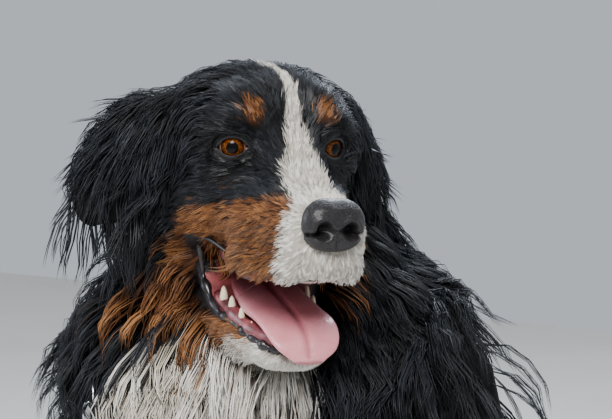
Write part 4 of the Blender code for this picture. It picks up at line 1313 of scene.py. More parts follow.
def lip_lines(tree: BVHTree, rows: list, side: int, sink: float) -> Array:
    """A lip's edge laid on the skin and sunk in it a little, in metres in the head's frame.

    Args:
        tree: the head's skin.
        rows: the edge's points on the left, in millimetres.
        side: 1 for the left, -1 for the right.
        sink: how deep it is sunk.

    Returns:
        The edge's points.
    """
    line = through(rows, 60) * MM
    line[:, 0] *= side
    found = [tree.find_nearest(Vector(p)) for p in line]
    return np.array([hit[0] - hit[1] * sink for hit in found])


def almond_edge(angle: Array) -> tuple[Array, Array]:
    """The eye's opening in its own frame: x by the cosine, z by a blunt arc over and under, in metres.

    Args:
        angle: bearings round the opening.

    Returns:
        The edge's x and z.
    """
    across = np.cos(angle)
    high = np.where(np.sin(angle) > 0, 6.9, 5.7) * MM
    z = np.sign(np.sin(angle)) * high * (1 - np.abs(across) ** 2.3)
    return 11.2 * MM * across, z


def ring_depth(x: Array, z: Array, skin_y: Array) -> Array:
    """How far forward the lids stand: the ball's own curve near the opening, the face beyond it.

    Args:
        x: places across the eye.
        z: places up it.
        skin_y: the skin's place along the gaze there.

    Returns:
        The lids' place along the gaze.
    """
    lid = EYE_RADIUS + 1.7 * MM
    ball = -np.sqrt(np.maximum(lid**2 - x**2 - z**2, 0.0))
    reach = np.sqrt((x / (16.5 * MM)) ** 2 + (z / (12.5 * MM)) ** 2)
    crease = 0.8 * MM * np.exp(-(((reach - 0.80) / 0.07) ** 2)) * (z > -2 * MM)
    return ball + (skin_y - ball) * smooth_step(0.45, 1.0, reach) + crease


def skin_behind(tree: BVHTree, matrix: Matrix, x: Array, z: Array) -> Array:
    """The skin's place along the gaze at points across the eye, in the eye's own frame.

    Args:
        tree: the head's skin.
        matrix: the eye's own axes.
        x: places across the eye.
        z: places up it.

    Returns:
        The skin's y at each place.
    """
    back = matrix.inverted()
    ahead = matrix.to_3x3() @ Vector((0, 1, 0))
    found = []
    for a, b in zip(x.ravel(), z.ravel()):
        hit = tree.ray_cast(matrix @ Vector((a, -0.05, b)), ahead)[0]
        found.append((back @ hit).y if hit else 0.0)
    return np.array(found).reshape(x.shape)


@dataclass
class Hide:
    """The dog's skin in one surface, with what later pieces need to know of it."""

    piece: bpy.types.Object | None = None
    tree: BVHTree | None = None
    head_tree: BVHTree | None = None
    lining: BVHTree | None = None
    # The cells of the two skins and the lowest place, in metres.
    head_voxel: float = 2.3 * MM
    body_voxel: float = 5.7 * MM
    ground: float = 0.0006
    # How deep the head's skin lies under its coat, in millimetres.
    under_coat: float = 2.7

    def build(self) -> "Hide":
        """Fuse the head and the body, seat the eyes and store the markings.

        Returns:
            The hide itself.
        """
        shapes = head_shapes() + [ear_shape(1), ear_shape(-1)]
        head = fused(mesh_object("skin_head", Shape.merged(shapes)), self.head_voxel, 8)
        points = points_of(head)
        set_points(head, points - normals_of(head) * self.under_coat * MM)
        mouth = mesh_object("mouth", Shape.head_loft(MOUTH, 2.2, 40, 40))
        self.lining = skin_tree(mouth)
        combine(head, mouth, "DIFFERENCE", "MANIFOLD")
        self.head_tree = skin_tree(head)
        self.seat_eyes(head)
        head.data.transform(HEAD)
        body = fused(mesh_object("dog_hide", Shape.merged(body_shapes())), self.body_voxel, 6)
        body.data.transform(BODY)
        combine(body, head, "UNION", "MANIFOLD")
        points = points_of(body)
        points[:, 2] = np.maximum(points[:, 2], self.ground)
        set_points(body, points)
        self.piece = body
        self.tree = skin_tree(body)
        self.mark()
        return self

    def include(self, pieces: list[bpy.types.Object]) -> None:
        """Rebuild the tree that hair is laid on, with the eyelids as part of the skin.

        Args:
            pieces: the eyelids.
        """
        points, faces = [], []
        for piece in [self.piece, *pieces]:
            start = sum(len(p) for p in points)
            points.append(points_of(piece))
            faces += [[start + k for k in face.vertices] for face in piece.data.polygons]
        self.tree = BVHTree.FromPolygons(np.vstack(points).tolist(), faces)

    def seat_eyes(self, head: bpy.types.Object) -> None:
        """Sink the skin behind the lids and the eyeball.

        Args:
            head: the head's skin in its own frame.
        """
        points = points_of(head)
        for side in (1, -1):
            matrix = eye_local(side)
            local = moved(points, matrix.inverted())
            near = ((local[:, 0] / 0.0172) ** 2 + (local[:, 2] / 0.0132) ** 2 < 1) & (local[:, 1] < 0)
            x, z = local[near, 0], local[near, 2]
            depth = ring_depth(x, z, skin_behind(self.head_tree, matrix, x, z)) + 1.2 * MM
            inside = (np.abs(x) < 12.5 * MM) & (np.abs(z) < 8.5 * MM)
            depth = np.where(inside, depth + 4.5 * MM, depth)
            local[near, 1] = np.maximum(local[near, 1], depth)
            points[near] = moved(local[near], matrix)
        set_points(head, points)

    def mark(self) -> None:
        """Store the markings, the bare skin and the mouth's lining as attributes."""
        points = points_of(self.piece)
        local = head_points(points) * MM
        marks = Markings.at(points)
        bare = self.bare_at(points)
        x, y, z = (local / MM).T
        hollow = (np.abs(x) < 40) & (y < 46) & (y > -78) & (z < -70) & (z > -126)
        normals = normals_of(self.piece) @ np.array(HEAD.to_3x3())
        facing_in = np.where(z > -98, -normals[:, 2], normals[:, 2]) > 0.35
        deep = (hollow & (facing_in | (np.abs(x) < 30))) | ((self.from_lining(local) < 0.7) & (y > -80))
        set_values(self.piece, "white", marks.white)
        set_values(self.piece, "tan", marks.tan)
        set_values(self.piece, "bare", bare)
        set_values(self.piece, "inside", smooth_step(0.0, 1.0, deep.astype(float)))

    def from_lining(self, local: Array) -> Array:
        """How far places in the head's frame are from the mouth's lining, in millimetres, to 5 at most."""
        found = [self.lining.find_nearest(Vector(p), 5 * MM)[3] for p in local]
        return np.array([5.0 if far is None else far / MM for far in found])

    def bare_at(self, points: Array) -> Array:
        """1 where no hair grows: lips, mouth, eyelids, the seat of the nose and the soles.

        Args:
            points: places in the dog.

        Returns:
            A number for each place, 0 to 1.
        """
        local = head_points(points)
        x, y, z = local.T
        near = np.abs(x) < 70
        folded = np.stack([np.abs(x), y, z], axis=-1)
        upper = polyline_distance(folded, through(UPPER_LIP, 24))
        lower = polyline_distance(folded, through(LOWER_LIP, 24))
        reach = 6.0 + 5.0 * smooth_step(-20, 15, y)
        bare = np.maximum(smooth_step(reach, reach - 2.5, upper), smooth_step(9.0, 6.5, lower))
        corner = np.linalg.norm((folded - np.array(CORNER)) / np.array([11, 13, 15]), axis=1)
        bare = np.maximum(bare, smooth_step(1.1, 0.8, corner))
        hollow = (np.abs(x) < 43) & (y < 62) & (y > -86) & (z < -80) & (z > -126)
        bare = np.maximum(bare, hollow * 1.0)
        bare = np.maximum(bare, smooth_step(3.0, 1.5, self.from_lining(local * MM)))
        nose = np.linalg.norm((local - np.array([0, -106, -35])) / np.array([23, 11.5, 18]), axis=1)
        bare = np.maximum(bare, smooth_step(1.12, 0.98, nose)) * near
        for side in (1, -1):
            eye = moved(points, (HEAD @ eye_local(side)).inverted()) / MM
            reach = np.sqrt((eye[:, 0] / 14.0) ** 2 + (eye[:, 2] / 9.6) ** 2)
            bare = np.maximum(bare, smooth_step(1.08, 0.95, reach) * (np.abs(eye[:, 1]) < 24))
        return np.maximum(bare, smooth_step(0.006, 0.003, points[:, 2]))


@dataclass
class Unwrap:
    """A flat layout of the skin's own shape, from which each tuft takes its place."""

    tree: BVHTree | None = None
    corners: Array | None = None
    flat: Array | None = None
    # How many faces the thinned copy keeps, and the gap between islands of the layout.
    kept_faces: int = 12000
    island_gap: float = 0.004

    def build(self, skin: bpy.types.Object) -> "Unwrap":
        """Thin a copy of the skin, unwrap it and keep its corners in space and on the layout.

        Args:
            skin: the dog's skin.

        Returns:
            The layout itself.
        """
        proxy = bpy.data.objects.new("unwrap", skin.data.copy())
        bpy.context.scene.collection.objects.link(proxy)
        thin = proxy.modifiers.new("Thin", "DECIMATE")
        thin.ratio = self.kept_faces / (2 * len(proxy.data.polygons))
        thin.use_collapse_triangulate = True
        apply_all(proxy)
        bpy.context.view_layer.objects.active = proxy
        proxy.select_set(True)
        proxy.data.uv_layers.new(name="flat")
        bpy.ops.object.mode_set(mode="EDIT")
        bpy.ops.mesh.select_all(action="SELECT")
        bpy.ops.uv.smart_project(angle_limit=math.radians(66), island_margin=self.island_gap)
        bpy.ops.object.mode_set(mode="OBJECT")
        mesh = proxy.data
        mesh.calc_loop_triangles()
        loops = np.zeros(len(mesh.loop_triangles) * 3, np.int32)
        mesh.loop_triangles.foreach_get("loops", loops)
        verts = np.zeros_like(loops)
        mesh.loop_triangles.foreach_get("vertices", verts)
        flat = np.zeros(len(mesh.loops) * 2, np.float32)
        mesh.uv_layers["flat"].data.foreach_get("uv", flat)
        points = points_of(proxy)
        self.corners = points[verts].reshape(-1, 3, 3)
        self.flat = flat.reshape(-1, 2)[loops].reshape(-1, 3, 2)
        self.tree = BVHTree.FromPolygons(points.tolist(), verts.reshape(-1, 3).tolist())
        bpy.data.objects.remove(proxy, do_unlink=True)
        return self

    def at(self, points: Array) -> Array:
        """The layout's coordinates at places near the skin, by shares of the nearest triangle.

        Args:
            points: places near the skin.

        Returns:
            Two coordinates for each place.
        """
        found = [self.tree.find_nearest(Vector(p)) for p in points]
        index = np.array([hit[2] for hit in found])
        spot = np.array([hit[0][:] for hit in found])
        a, b, c = (self.corners[index, k] for k in range(3))
        u, v, w = b - a, c - a, spot - a
        uu, uv, vv = (u * u).sum(1), (u * v).sum(1), (v * v).sum(1)
        wu, wv = (w * u).sum(1), (w * v).sum(1)
        base = np.maximum(uu * vv - uv * uv, 1e-18)
        s, t = (vv * wu - uv * wv) / base, (uu * wv - uv * wu) / base
        p, q, r = (self.flat[index, k] for k in range(3))
        return p + s[:, None] * (q - p) + t[:, None] * (r - p)


@dataclass
class Ground:
    """The skin's faces with what decides how much hair stands on each."""

    corners: Array
    facing: Array
    area: Array
    length: Array
    bare: Array
    head: Array

    @classmethod
    def of(cls, hide: Hide, lie: Lie, pieces: list[bpy.types.Object]) -> "Ground":
        """Read the skin and the eyelids and look up the hair's length at the middle of each face.

        Args:
            hide: the skin, for where it is bare.
            lie: the guides, for the hair's length.
            pieces: the skin and the eyelids.

        Returns:
            The faces.
        """
        found, points, normals = [], [], []
        for piece in pieces:
            mesh = piece.data
            mesh.calc_loop_triangles()
            verts = np.zeros(len(mesh.loop_triangles) * 3, np.int32)
            mesh.loop_triangles.foreach_get("vertices", verts)
            found.append(verts.reshape(-1, 3) + sum(len(p) for p in points))
            points.append(points_of(piece))
            normals.append(normals_of(piece))
        verts, points, normals = np.vstack(found), np.vstack(points), np.vstack(normals)
        corners = points[verts]
        square = np.cross(corners[:, 1] - corners[:, 0], corners[:, 2] - corners[:, 0])
        area = 0.5 * np.linalg.norm(square, axis=1)
        local = head_points(points)
        head = np.linalg.norm(local - np.array([0, 40, -50]), axis=1) < 185
        head = head * (1 + 0.9 * smooth_step(68, 80, np.abs(local[:, 0])))
        lengths, bare = lie.at(points)[1][:, 0], hide.bare_at(points)
        return cls(
            corners,
            normals[verts],
            area,
            lengths[verts].mean(1),
            bare[verts].mean(1),
            head[verts].mean(1),
        )

    def wanted(self, shortest: float, longest: float, head_share: float) -> Array:
        """How much hair each face takes: its area where the hair's length is within the span.

        Args:
            shortest: the least length of hair of this kind.
            longest: the greatest.
            head_share: how much denser it stands on the head and the neck.

        Returns:
            A weight for each face.
        """
        fits = smooth_step(shortest * 0.85, shortest, self.length)
        fits = fits * smooth_step(longest * 1.1, longest, self.length)
        above = ((self.corners.mean(1) - np.array(SHIFT) - STRAP_PLACE) @ STRAP_UP - 0.028) / 0.030
        front = smooth_step(-0.080, -0.115, self.corners[:, :, 1].mean(1))
        crowd = (1 + (head_share - 1) * self.head) * (1 + (3.0 + 13.0 * front) * np.exp(-(above**2)))
        return self.area * fits * (1 - self.bare) * crowd * (1 - 0.97 * self.over_tag())

    def over_tag(self) -> Array:
        """1 in a strip of skin at the tag and above it, where little hair stands, so that the tag shows.

        Returns:
            A number for each face, 0 to 1.
        """
        low, high = (np.array(corner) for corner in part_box("tag"))
        away = self.corners.mean(1) - (low + high) / 2
        across = np.abs(away @ np.array([math.cos(TAG_TURN), math.sin(TAG_TURN), 0]))
        deep = np.abs(away @ np.array([math.sin(TAG_TURN), -math.cos(TAG_TURN), 0]))
        strip = smooth_step(0.024, 0.015, across) * smooth_step(0.085, 0.070, away[:, 2])
        return strip * smooth_step(-0.030, -0.020, away[:, 2]) * (deep < 0.07)


@dataclass
class Coat:
    """Locks and tufts of hair rooted in the skin, in pieces of a few thousand each."""

    hide: Hide
    lie: Lie
    ground: Ground
    unwrap: Unwrap
    strap: Array
    dice: np.random.Generator
    room: tuple[Array, Array]
    made: list[bpy.types.Object] = field(default_factory=list)
    # How far hair keeps from the collar's middle line, and one wave of a lock, in metres.
    strap_room: float = 0.019
    wave_length: float = 0.068
    # The most triangles in a piece.
    most_triangles: int = 190000

    def roots(self, count: int, weight: Array) -> tuple[Array, Array]:
        """Places spread over the skin at random, by how much hair each face takes.

        Args:
            count: how many places.
            weight: the hair wanted at each face.

        Returns:
            The places and the skin's normals there.
        """
        pick = np.searchsorted(np.cumsum(weight) / weight.sum(), self.dice.random(count))
        s, t = np.sqrt(self.dice.random(count)), self.dice.random(count)
        shares = np.stack([1 - s, s * (1 - t), s * t], axis=-1)[:, :, None]
        return (self.ground.corners[pick] * shares).sum(1), unit((self.ground.facing[pick] * shares).sum(1))

    def nearest(self, points: Array) -> tuple[Array, Array]:
        """The nearest places on the skin and their normals.

        Args:
            points: places near the skin.

        Returns:
            The places and the normals there.
        """
        find = self.hide.tree.find_nearest
        found = [find(Vector(p))[:2] for p in points]
        return np.array([f[0][:] for f in found]), np.array([f[1][:] for f in found])

    def spines(self, roots: Array, normals: Array, steps: int) -> tuple[Array, Array, Array, Array]:
        """The middle lines of locks: stepped over the skin along the lie and raised towards the tip.

        Args:
            roots: where the locks stand.
            normals: the skin's normals there.
            steps: points along each line.

        Returns:
            The lines, their own normals, the lengths, and each lock's sizes.
        """
        count = len(roots)
        way, sizes = self.lie.at(roots)
        length = sizes[:, 0] * self.dice.uniform(0.72, 1.12, count)
        drift = self.dice.normal(0, 0.09, (count, 3))
        on_skin, lines, tops = roots.copy(), [roots], [normals]
        for _ in range(steps - 1):
            way, _ = self.lie.at(on_skin)
            way = way + drift
            flat = unit(way - tops[-1] * (way * tops[-1]).sum(1, keepdims=True))
            ahead = on_skin + flat * (length / (steps - 1))[:, None]
            on_skin, facing = self.nearest(ahead)
            off = np.linalg.norm(ahead - on_skin, axis=1)
            free = (off > 0.45 * length / (steps - 1))[:, None]
            on_skin = np.where(free, ahead, on_skin)
            facing = np.where(free, tops[-1], unit(0.55 * tops[-1] + 0.45 * facing))
            lines.append(on_skin)
            tops.append(facing)
        line, top = np.stack(lines, axis=1), np.stack(tops, axis=1)
        share = np.linspace(0, 1, steps)[None, :, None]
        layer = self.dice.uniform(0.30, 1.0, count)[:, None, None]
        rise = sizes[:, 1][:, None, None] * layer * (1 - (1 - share) ** 2) * (1 - 0.22 * share**3)
        along = unit(np.gradient(line, axis=1))
        across = unit(np.cross(along, top))
        phase = self.dice.uniform(0, 2 * math.pi, count)[:, None, None]
        phase = phase * 0.35 + (roots @ np.array([31.0, 27.0, 46.0]))[:, None, None]
        swing = sizes[:, 2][:, None, None] * length[:, None, None] * 0.075 * share
        waves = 2 * math.pi * share * length[:, None, None] / self.wave_length
        line = line + top * (rise + 0.5 * swing * np.cos(waves + phase))
        line = line + across * swing * np.sin(waves + phase)
        return self.over_strap(line, top), top, length, sizes

    def over_strap(self, line: Array, top: Array) -> Array:
        """Lines lifted over the collar wherever they would pass through it.

        Args:
            line: the locks' middle lines.
            top: the lines' own normals.

        Returns:
            The lines, lifted.
        """
        finer = np.concatenate([line, 0.5 * (line[:, 1:] + line[:, :-1])], axis=1)
        square = ((finer.reshape(-1, 1, 3) - self.strap[None]) ** 2).sum(2)
        gap = np.sqrt(square.min(1)).reshape(len(line), -1)
        need = np.maximum(self.strap_room - gap, 0)
        steps = line.shape[1]
        own, between = need[:, :steps], 1.6 * need[:, steps:]
        own[:, 1:] = np.maximum(own[:, 1:], between)
        own[:, 1:-1] = np.maximum(own[:, 1:-1], between[:, 1:])
        return line + top * own[:, :, None]

    def locks(self, name: str, count: int, strands: int, steps: int, width: float, weight: Array) -> None:
        """Long hair: each lock's strands start apart on the skin and draw together at its tip.

        Args:
            name: the start of each piece's name.
            count: how many locks.
            strands: strands in a lock.
            steps: points along a strand.
            width: a strand's width.
            weight: the hair wanted at each face.
        """
        roots, normals = self.roots(count, weight)
        line, top, length, sizes = self.spines(roots, normals, steps)
        along = unit(np.gradient(line, axis=1))
        across = unit(np.cross(along, top))
        share = np.linspace(0, 1, steps)[None, None, :, None]
        turn = self.dice.uniform(0, 2 * math.pi, (count, strands))
        reach = np.sqrt(self.dice.uniform(0.02, 1, (count, strands)))
        spread_out = (0.0045 + 0.045 * length)[:, None]
        side = (reach * np.cos(turn) * spread_out)[:, :, None, None]
        deep = (reach * np.sin(turn) * spread_out * 0.55)[:, :, None, None]
        gather = 1.0 - 0.78 * share**1.3
        curl = self.dice.normal(0, 1, (count, strands, 1, 1)) * 0.0035
        curl = curl * sizes[:, 2][:, None, None, None] * share**2
        lines = line[:, None] + across[:, None] * (side * gather + curl)
        lines = lines + top[:, None] * (deep * gather * share**0.5)
        slack = self.dice.uniform(0.80, 1.0, (count, strands, 1, 1))
        stretch = share * slack * (steps - 1)
        first = np.minimum(stretch.astype(int), steps - 2)
        part = stretch - first
        first = np.broadcast_to(first, lines.shape[:3] + (1,))
        before, after = (np.take_along_axis(lines, first + k, 2) for k in (0, 1))
        lines = before * (1 - part) + after * part
        lines = lines.reshape(-1, steps, 3)
        tops = np.repeat(top, strands, axis=0)
        tone = np.repeat(self.dice.beta(1.4, 2.6, count), strands)
        tone = np.clip(tone + self.dice.normal(0, 0.12, len(tone)), 0, 1)
        wide = width * self.dice.uniform(0.6, 1.25, len(tone))
        self.strands(name, lines, tops, wide, tone, roots)

    def tufts(self, name: str, count: int, each: int, width: float, weight: Array) -> None:
        """Short flat hair in clumps: slim wedges laid along the skin, drawn together at their tips.

        Args:
            name: the start of each piece's name.
            count: how many clumps.
            each: wedges in a clump.
            width: a wedge's width.
            weight: the hair wanted at each face.
        """
        roots, normals = self.roots(count, weight)
        way, sizes = self.lie.at(roots)
        sway = np.stack([wobble(roots, 0.021, k) for k in (2.0, 7.0, 11.0)], axis=-1)
        way = way + self.dice.normal(0, 0.13, way.shape) + 0.30 * sway
        flat = unit(way - normals * (way * normals).sum(1, keepdims=True))
        across = np.cross(flat, normals)
        length = sizes[:, 0] * self.dice.uniform(0.55, 1.0, count)
        ends, facing = self.nearest(roots + flat * length[:, None])
        tip = ends + facing * (sizes[:, 1] * self.dice.uniform(0.3, 0.95, count))[:, None]
        reach = (0.0006 + 0.075 * length)[:, None, None]
        side = (np.linspace(-1, 1, each)[None] + self.dice.normal(0, 0.25, (count, each)))[:, :, None] * reach
        back = self.dice.uniform(-2.2, 1.2, (count, each, 1)) * reach
        start = roots[:, None] + across[:, None] * side + flat[:, None] * back - normals[:, None] * 0.0003
        stop = tip[:, None] + across[:, None] * side * 0.40 + flat[:, None] * back * 0.7
        stop = stop + facing[:, None] * self.dice.uniform(-0.0004, 0.0004, (count, each, 1))
        lines = np.stack([start, stop], axis=2).reshape(-1, 2, 3)
        tops = np.repeat(np.stack([normals, facing], axis=1), each, axis=0)
        tone = np.repeat(np.clip(self.dice.beta(0.8, 1.5, count) + 0.15 * wobble(roots, 0.013), 0, 1), each)
        tone = np.clip(tone + self.dice.normal(0, 0.07, len(tone)), 0, 1)
        self.strands(name, lines, tops, width * self.dice.uniform(0.7, 1.3, len(tone)), tone, roots)

    def strands(self, name: str, lines: Array, tops: Array, wide: Array, tone: Array, roots: Array) -> None:
        """Closed three-sided blades along lines, cut into pieces under the limit.

        Args:
            name: the start of each piece's name.
            lines: one line of points for each blade.
            tops: the skin's way out at each point.
            wide: each blade's width.
            tone: each blade's tone.
            roots: where the colour and layout are taken, one for each run of blades.
        """
        low, high = self.room
        lines = np.clip(lines, low, high)
        steps = lines.shape[1]
        count = len(lines)
        each = count // len(roots)
        marks = Markings.at(np.repeat(roots, each, axis=0) + self.dice.normal(0, 0.0012, (count, 3)))
        white, tan = (
            smooth_step(0.32, 0.68, values + self.dice.normal(0, 0.12, count))
            for values in (marks.white, marks.tan)
        )
        flat = np.repeat(self.unwrap.at(roots), each, axis=0)
        along = unit(np.gradient(lines, axis=1))
        across = unit(np.cross(along, tops))
        up = np.cross(across, along)
        share = np.linspace(0, 1, steps)
        taper = (0.70 + 1.0 * share - 1.35 * share**2)[None, :, None] * wide[:, None, None]
        left = lines + across * taper * 0.5 - up * taper * 0.10
        right = lines - across * taper * 0.5 - up * taper * 0.10
        crest = lines + up * taper * 0.22
        rings = np.stack([left, crest, right], axis=2)[:, :-1].reshape(count, -1, 3)
        points = np.concatenate([rings, lines[:, -1:]], axis=1)
        ring = np.arange(steps - 2)[:, None] * 3
        side = np.arange(3)[None, :]
        beside = (side + 1) % 3
        quads = np.stack([ring + side, ring + 3 + side, ring + 3 + beside, ring + beside], axis=-1)
        quads = quads.reshape(-1, 4)
        last = (steps - 2) * 3
        tris = [(last + (k + 1) % 3, last + k, last + 3) for k in range(3)] + [(0, 1, 2)]
        per = points.shape[1]
        rise = np.concatenate([np.repeat(share[:-1], 3), [1.0]])
        lay = np.concatenate([np.tile([-0.5, 0.0, 0.5], steps - 1), [0.0]])
        patch = np.stack([lay, rise - 0.5], axis=-1) * 0.003
        chunk = self.most_triangles // (len(quads) * 2 + len(tris))
        for part, start in enumerate(range(0, count, chunk)):
            stop = min(start + chunk, count)
            here = np.arange(stop - start)[:, None, None] * per
            shape = Shape(
                points[start:stop].reshape(-1, 3),
                (quads[None] + here).reshape(-1, 4),
                (np.array(tris)[None] + here).reshape(-1, 3),
            )
            piece = fast_mesh(f"{name}_{part + 1:02d}", shape, steps > 2)
            for key, values in (("white", white), ("tan", tan), ("cream", marks.cream), ("tone", tone)):
                set_values(piece, key, np.repeat(values[start:stop], per))
            # The share along each blade, which carries its painted shade at the root.
            set_values(piece, "along", np.tile(rise, stop - start))
            layer = piece.data.uv_layers.new(name="OFBake")
            corner = np.zeros(len(piece.data.loops), np.int32)
            piece.data.loops.foreach_get("vertex_index", corner)
            spots = (flat[start:stop, None] + patch[None]).reshape(-1, 2)
            layer.data.foreach_set("uv", spots[corner].astype(np.float32).ravel())
            self.made.append(dress(piece, COAT, "coat_black"))


def fast_mesh(name: str, shape: Shape, smooth: bool) -> bpy.types.Object:
    """A large mesh filled from arrays in one go.

    Args:
        name: the object's name.
        shape: the points and faces.
        smooth: whether the faces are shaded smooth.

    Returns:
        The object.
    """
    mesh = bpy.data.meshes.new(name)
    mesh.vertices.add(len(shape.points))
    mesh.vertices.foreach_set("co", shape.points.astype(np.float32).ravel())
    mesh.loops.add(shape.quads.size + shape.tris.size)
    corners = np.concatenate([shape.quads.ravel(), shape.tris.ravel()])
    mesh.loops.foreach_set("vertex_index", corners.astype(np.int32))
    mesh.polygons.add(len(shape.quads) + len(shape.tris))
    after_quads = shape.quads.size + np.arange(len(shape.tris)) * 3
    starts = np.concatenate([np.arange(len(shape.quads)) * 4, after_quads])
    mesh.polygons.foreach_set("loop_start", starts.astype(np.int32))
    mesh.polygons.foreach_set("use_smooth", np.full(len(starts), smooth))
    mesh.update(calc_edges=True)
    made = bpy.data.objects.new(name, mesh)
    bpy.context.scene.collection.objects.link(made)
    return made


@dataclass
class Face:
    """The eyes, lids, nose, lips, mouth and whiskers."""

    hide: Hide
    dice: np.random.Generator
    skins: list[bpy.types.Object] = field(default_factory=list)

    def build(self) -> None:
        """Make every piece of the face."""
        for side, name in ((1, "left"), (-1, "right")):
            self.eyeball(side, name)
            self.lids(side, name)
        self.nose()
        self.tongue()
        self.mouth()
        self.whiskers()

    def eyeball(self, side: int, name: str) -> None:
        """A ball with its pole on the gaze and a low bulge of cornea over the iris.

        Args:
            side: 1 for the left, -1 for the right.
            name: the side's name.
        """
        rings, sides = 90, 96
        off = np.linspace(0.0, 1.0, rings)[1:] ** 1.3 * (math.pi - 0.15)
        turn = np.linspace(0, 2 * math.pi, sides, endpoint=False)
        radius = EYE_RADIUS - 0.15 * MM + 0.7 * MM * np.exp(-((off / 0.50) ** 4))
        ahead = -radius * np.cos(off)
        wide = radius * np.sin(off)
        grid = np.stack(
            [
                wide[:, None] * np.cos(turn)[None],
                np.repeat(ahead[:, None], sides, axis=1),
                wide[:, None] * np.sin(turn)[None],
            ],
            axis=-1,
        )
        shape = Shape.from_rings(grid)
        off_axis = np.concatenate([np.repeat(off, sides), [0.0, math.pi]])
        shape.points[-2] = (0, -radius[0], 0)
        piece = mesh_object(f"eye_{name}_ball", shape.placed(HEAD @ eye_local(side)))
        set_values(piece, "off_axis", off_axis)
        set_values(piece, "ring_x", np.concatenate([np.tile(np.cos(turn), rings - 1), [0.0, 0.0]]))
        set_values(piece, "ring_y", np.concatenate([np.tile(np.sin(turn), rings - 1), [0.0, 0.0]]))
        dress(piece, EYE_WET, "eye_amber", f"eye_{name}")

    def lids(self, side: int, name: str) -> None:
        """Upper and lower lids in one ring: a wet margin, a crease and a skirt that sinks in the face.

        Args:
            side: 1 for the left, -1 for the right.
            name: the side's name.
        """
        angle = np.linspace(0, 2 * math.pi, 144, endpoint=False) + 0.001
        tilt = math.radians(6) * side
        edge_x, edge_z = almond_edge(angle)
        far_x, far_z = 17.2 * MM * np.cos(angle), 13.2 * MM * np.sin(angle)
        shares = np.concatenate([[0.0, 0.0, 0.0], np.linspace(0.03, 1.0, 26)])[:, None]
        x, z = edge_x + (far_x - edge_x) * shares, edge_z + (far_z - edge_z) * shares
        x[0], z[0] = edge_x * 1.02, edge_z * 1.02
        x, z = x * math.cos(tilt) + z * math.sin(tilt), z * math.cos(tilt) - x * math.sin(tilt)
        matrix = eye_local(side)
        y = ring_depth(x, z, skin_behind(self.hide.head_tree, matrix, x, z))
        reach = np.sqrt(np.maximum((EYE_RADIUS + 0.2 * MM) ** 2 - x[:3] ** 2 - z[:3] ** 2, 0))
        y[0], y[1] = -reach[0] + 1.2 * MM, -reach[1]
        y[2] = -reach[2] - 1.0 * MM
        y = y + 1.4 * MM * smooth_step(0.86, 1.0, shares)
        count, sides = x.shape
        grid = np.arange((count - 1) * sides).reshape(count - 1, sides)
        beside = np.roll(grid, -1, axis=1)
        quads = np.stack([grid, grid + sides, beside + sides, beside], axis=-1).reshape(-1, 4)
        points = np.stack([x, y, z], axis=-1).reshape(-1, 3)
        shape = Shape(points, quads, np.zeros((0, 3), int)).placed(HEAD @ matrix)
        piece = mesh_object(f"eyelids_{name}", shape)
        marks = Markings.at(shape.points)
        bare = np.broadcast_to(smooth_step(0.30, 0.16, shares), x.shape).ravel()
        set_values(piece, "white", marks.white * 0)
        set_values(piece, "tan", marks.tan * 0)
        set_values(piece, "bare", bare)
        set_values(piece, "inside", bare * 0)
        self.skins.append(dress(piece, LID_SKIN, "coat_black"))
        # The pink corner of the eye, at the side of the nose.
        corner = Shape.ball((-side * 10.6 * MM, -8.2 * MM, -0.6 * MM), (1.7 * MM, 1.2 * MM, 1.3 * MM), 12, 16)
        dress(mesh_object(f"eye_corner_{name}", corner.placed(HEAD @ matrix)), GUM_FLESH, "coat_black")

    def nose(self) -> None:
        """The nose leather with comma-shaped nostrils, a groove between them and a flat top."""
        shape = Shape.head_loft(NOSE, 2.35, 110, 150)
        p = shape.points / MM
        x, y, z = p.T
        ahead = smooth_step(-98, -104, y)
        hole = np.exp(-((((np.abs(x) - 9.6) / 4.6) ** 2 + ((z + 38.5) / 4.9) ** 2) ** 1.6))
        slit_z = -41.5 - 0.10 * (np.abs(x) - 12)
        slit = np.exp(-(((z - slit_z) / 1.7) ** 2)) * smooth_step(10, 13, np.abs(x))
        slit = slit * smooth_step(24, 20, np.abs(x))
        groove = np.exp(-((x / 0.9) ** 2)) * smooth_step(-30, -36, z)
        rim = np.exp(-((((np.abs(x) - 10.5) / 8.0) ** 2 + ((z + 38) / 8.2) ** 2 - 1) ** 2) / 0.12)
        p[:, 1] += ahead * (9.5 * hole + 1.6 * groove - 0.9 * rim)
        p[:, 1] += smooth_step(-99, -103, y) * 5.0 * slit
        p[:, 0] -= np.sign(x) * 3.6 * slit * smooth_step(-109, -100, y)
        p[:, 2] -= 1.2 * np.exp(-((x / 7) ** 2)) * smooth_step(-24, -20, z)
        shape.points = p * MM
        piece = mesh_object("nose_pad", shape.placed(HEAD))
        # The hole mask: where the nostrils get painted shade.
        set_values(piece, "hole", np.clip(1.3 * ahead * hole + smooth_step(-99, -103, y) * slit, 0, 1))
        dress(piece, NOSE_LEATHER, "nose_leather", "nose")

    def tongue(self) -> None:
        """A broad tongue that hangs over the lower lip, grooved down the middle."""
        shape = Shape.head_loft(TONGUE, 2.5, 120, 96)
        p = shape.points / MM
        x, y, z = p.T
        lie = np.interp(-y, -through(TONGUE, 50)[:, 0], through(TONGUE, 50)[:, 1])
        upper = smooth_step(-0.5, 1.5, z - lie)
        groove = np.exp(-((x / 2.6) ** 2))
        p[:, 2] += upper * (-2.2 * groove + 0.5 * np.sin(y / 5.0 + 1.2 * np.sin(x / 6)) * 0.4)
        p[:, 2] += 1.2 * (np.abs(x) / 29) ** 3 * np.sin(y / 11.0) * smooth_step(-90, -30, -y)
        shape.points = p * MM
        piece = mesh_object("tongue_blade", shape.placed(HEAD))
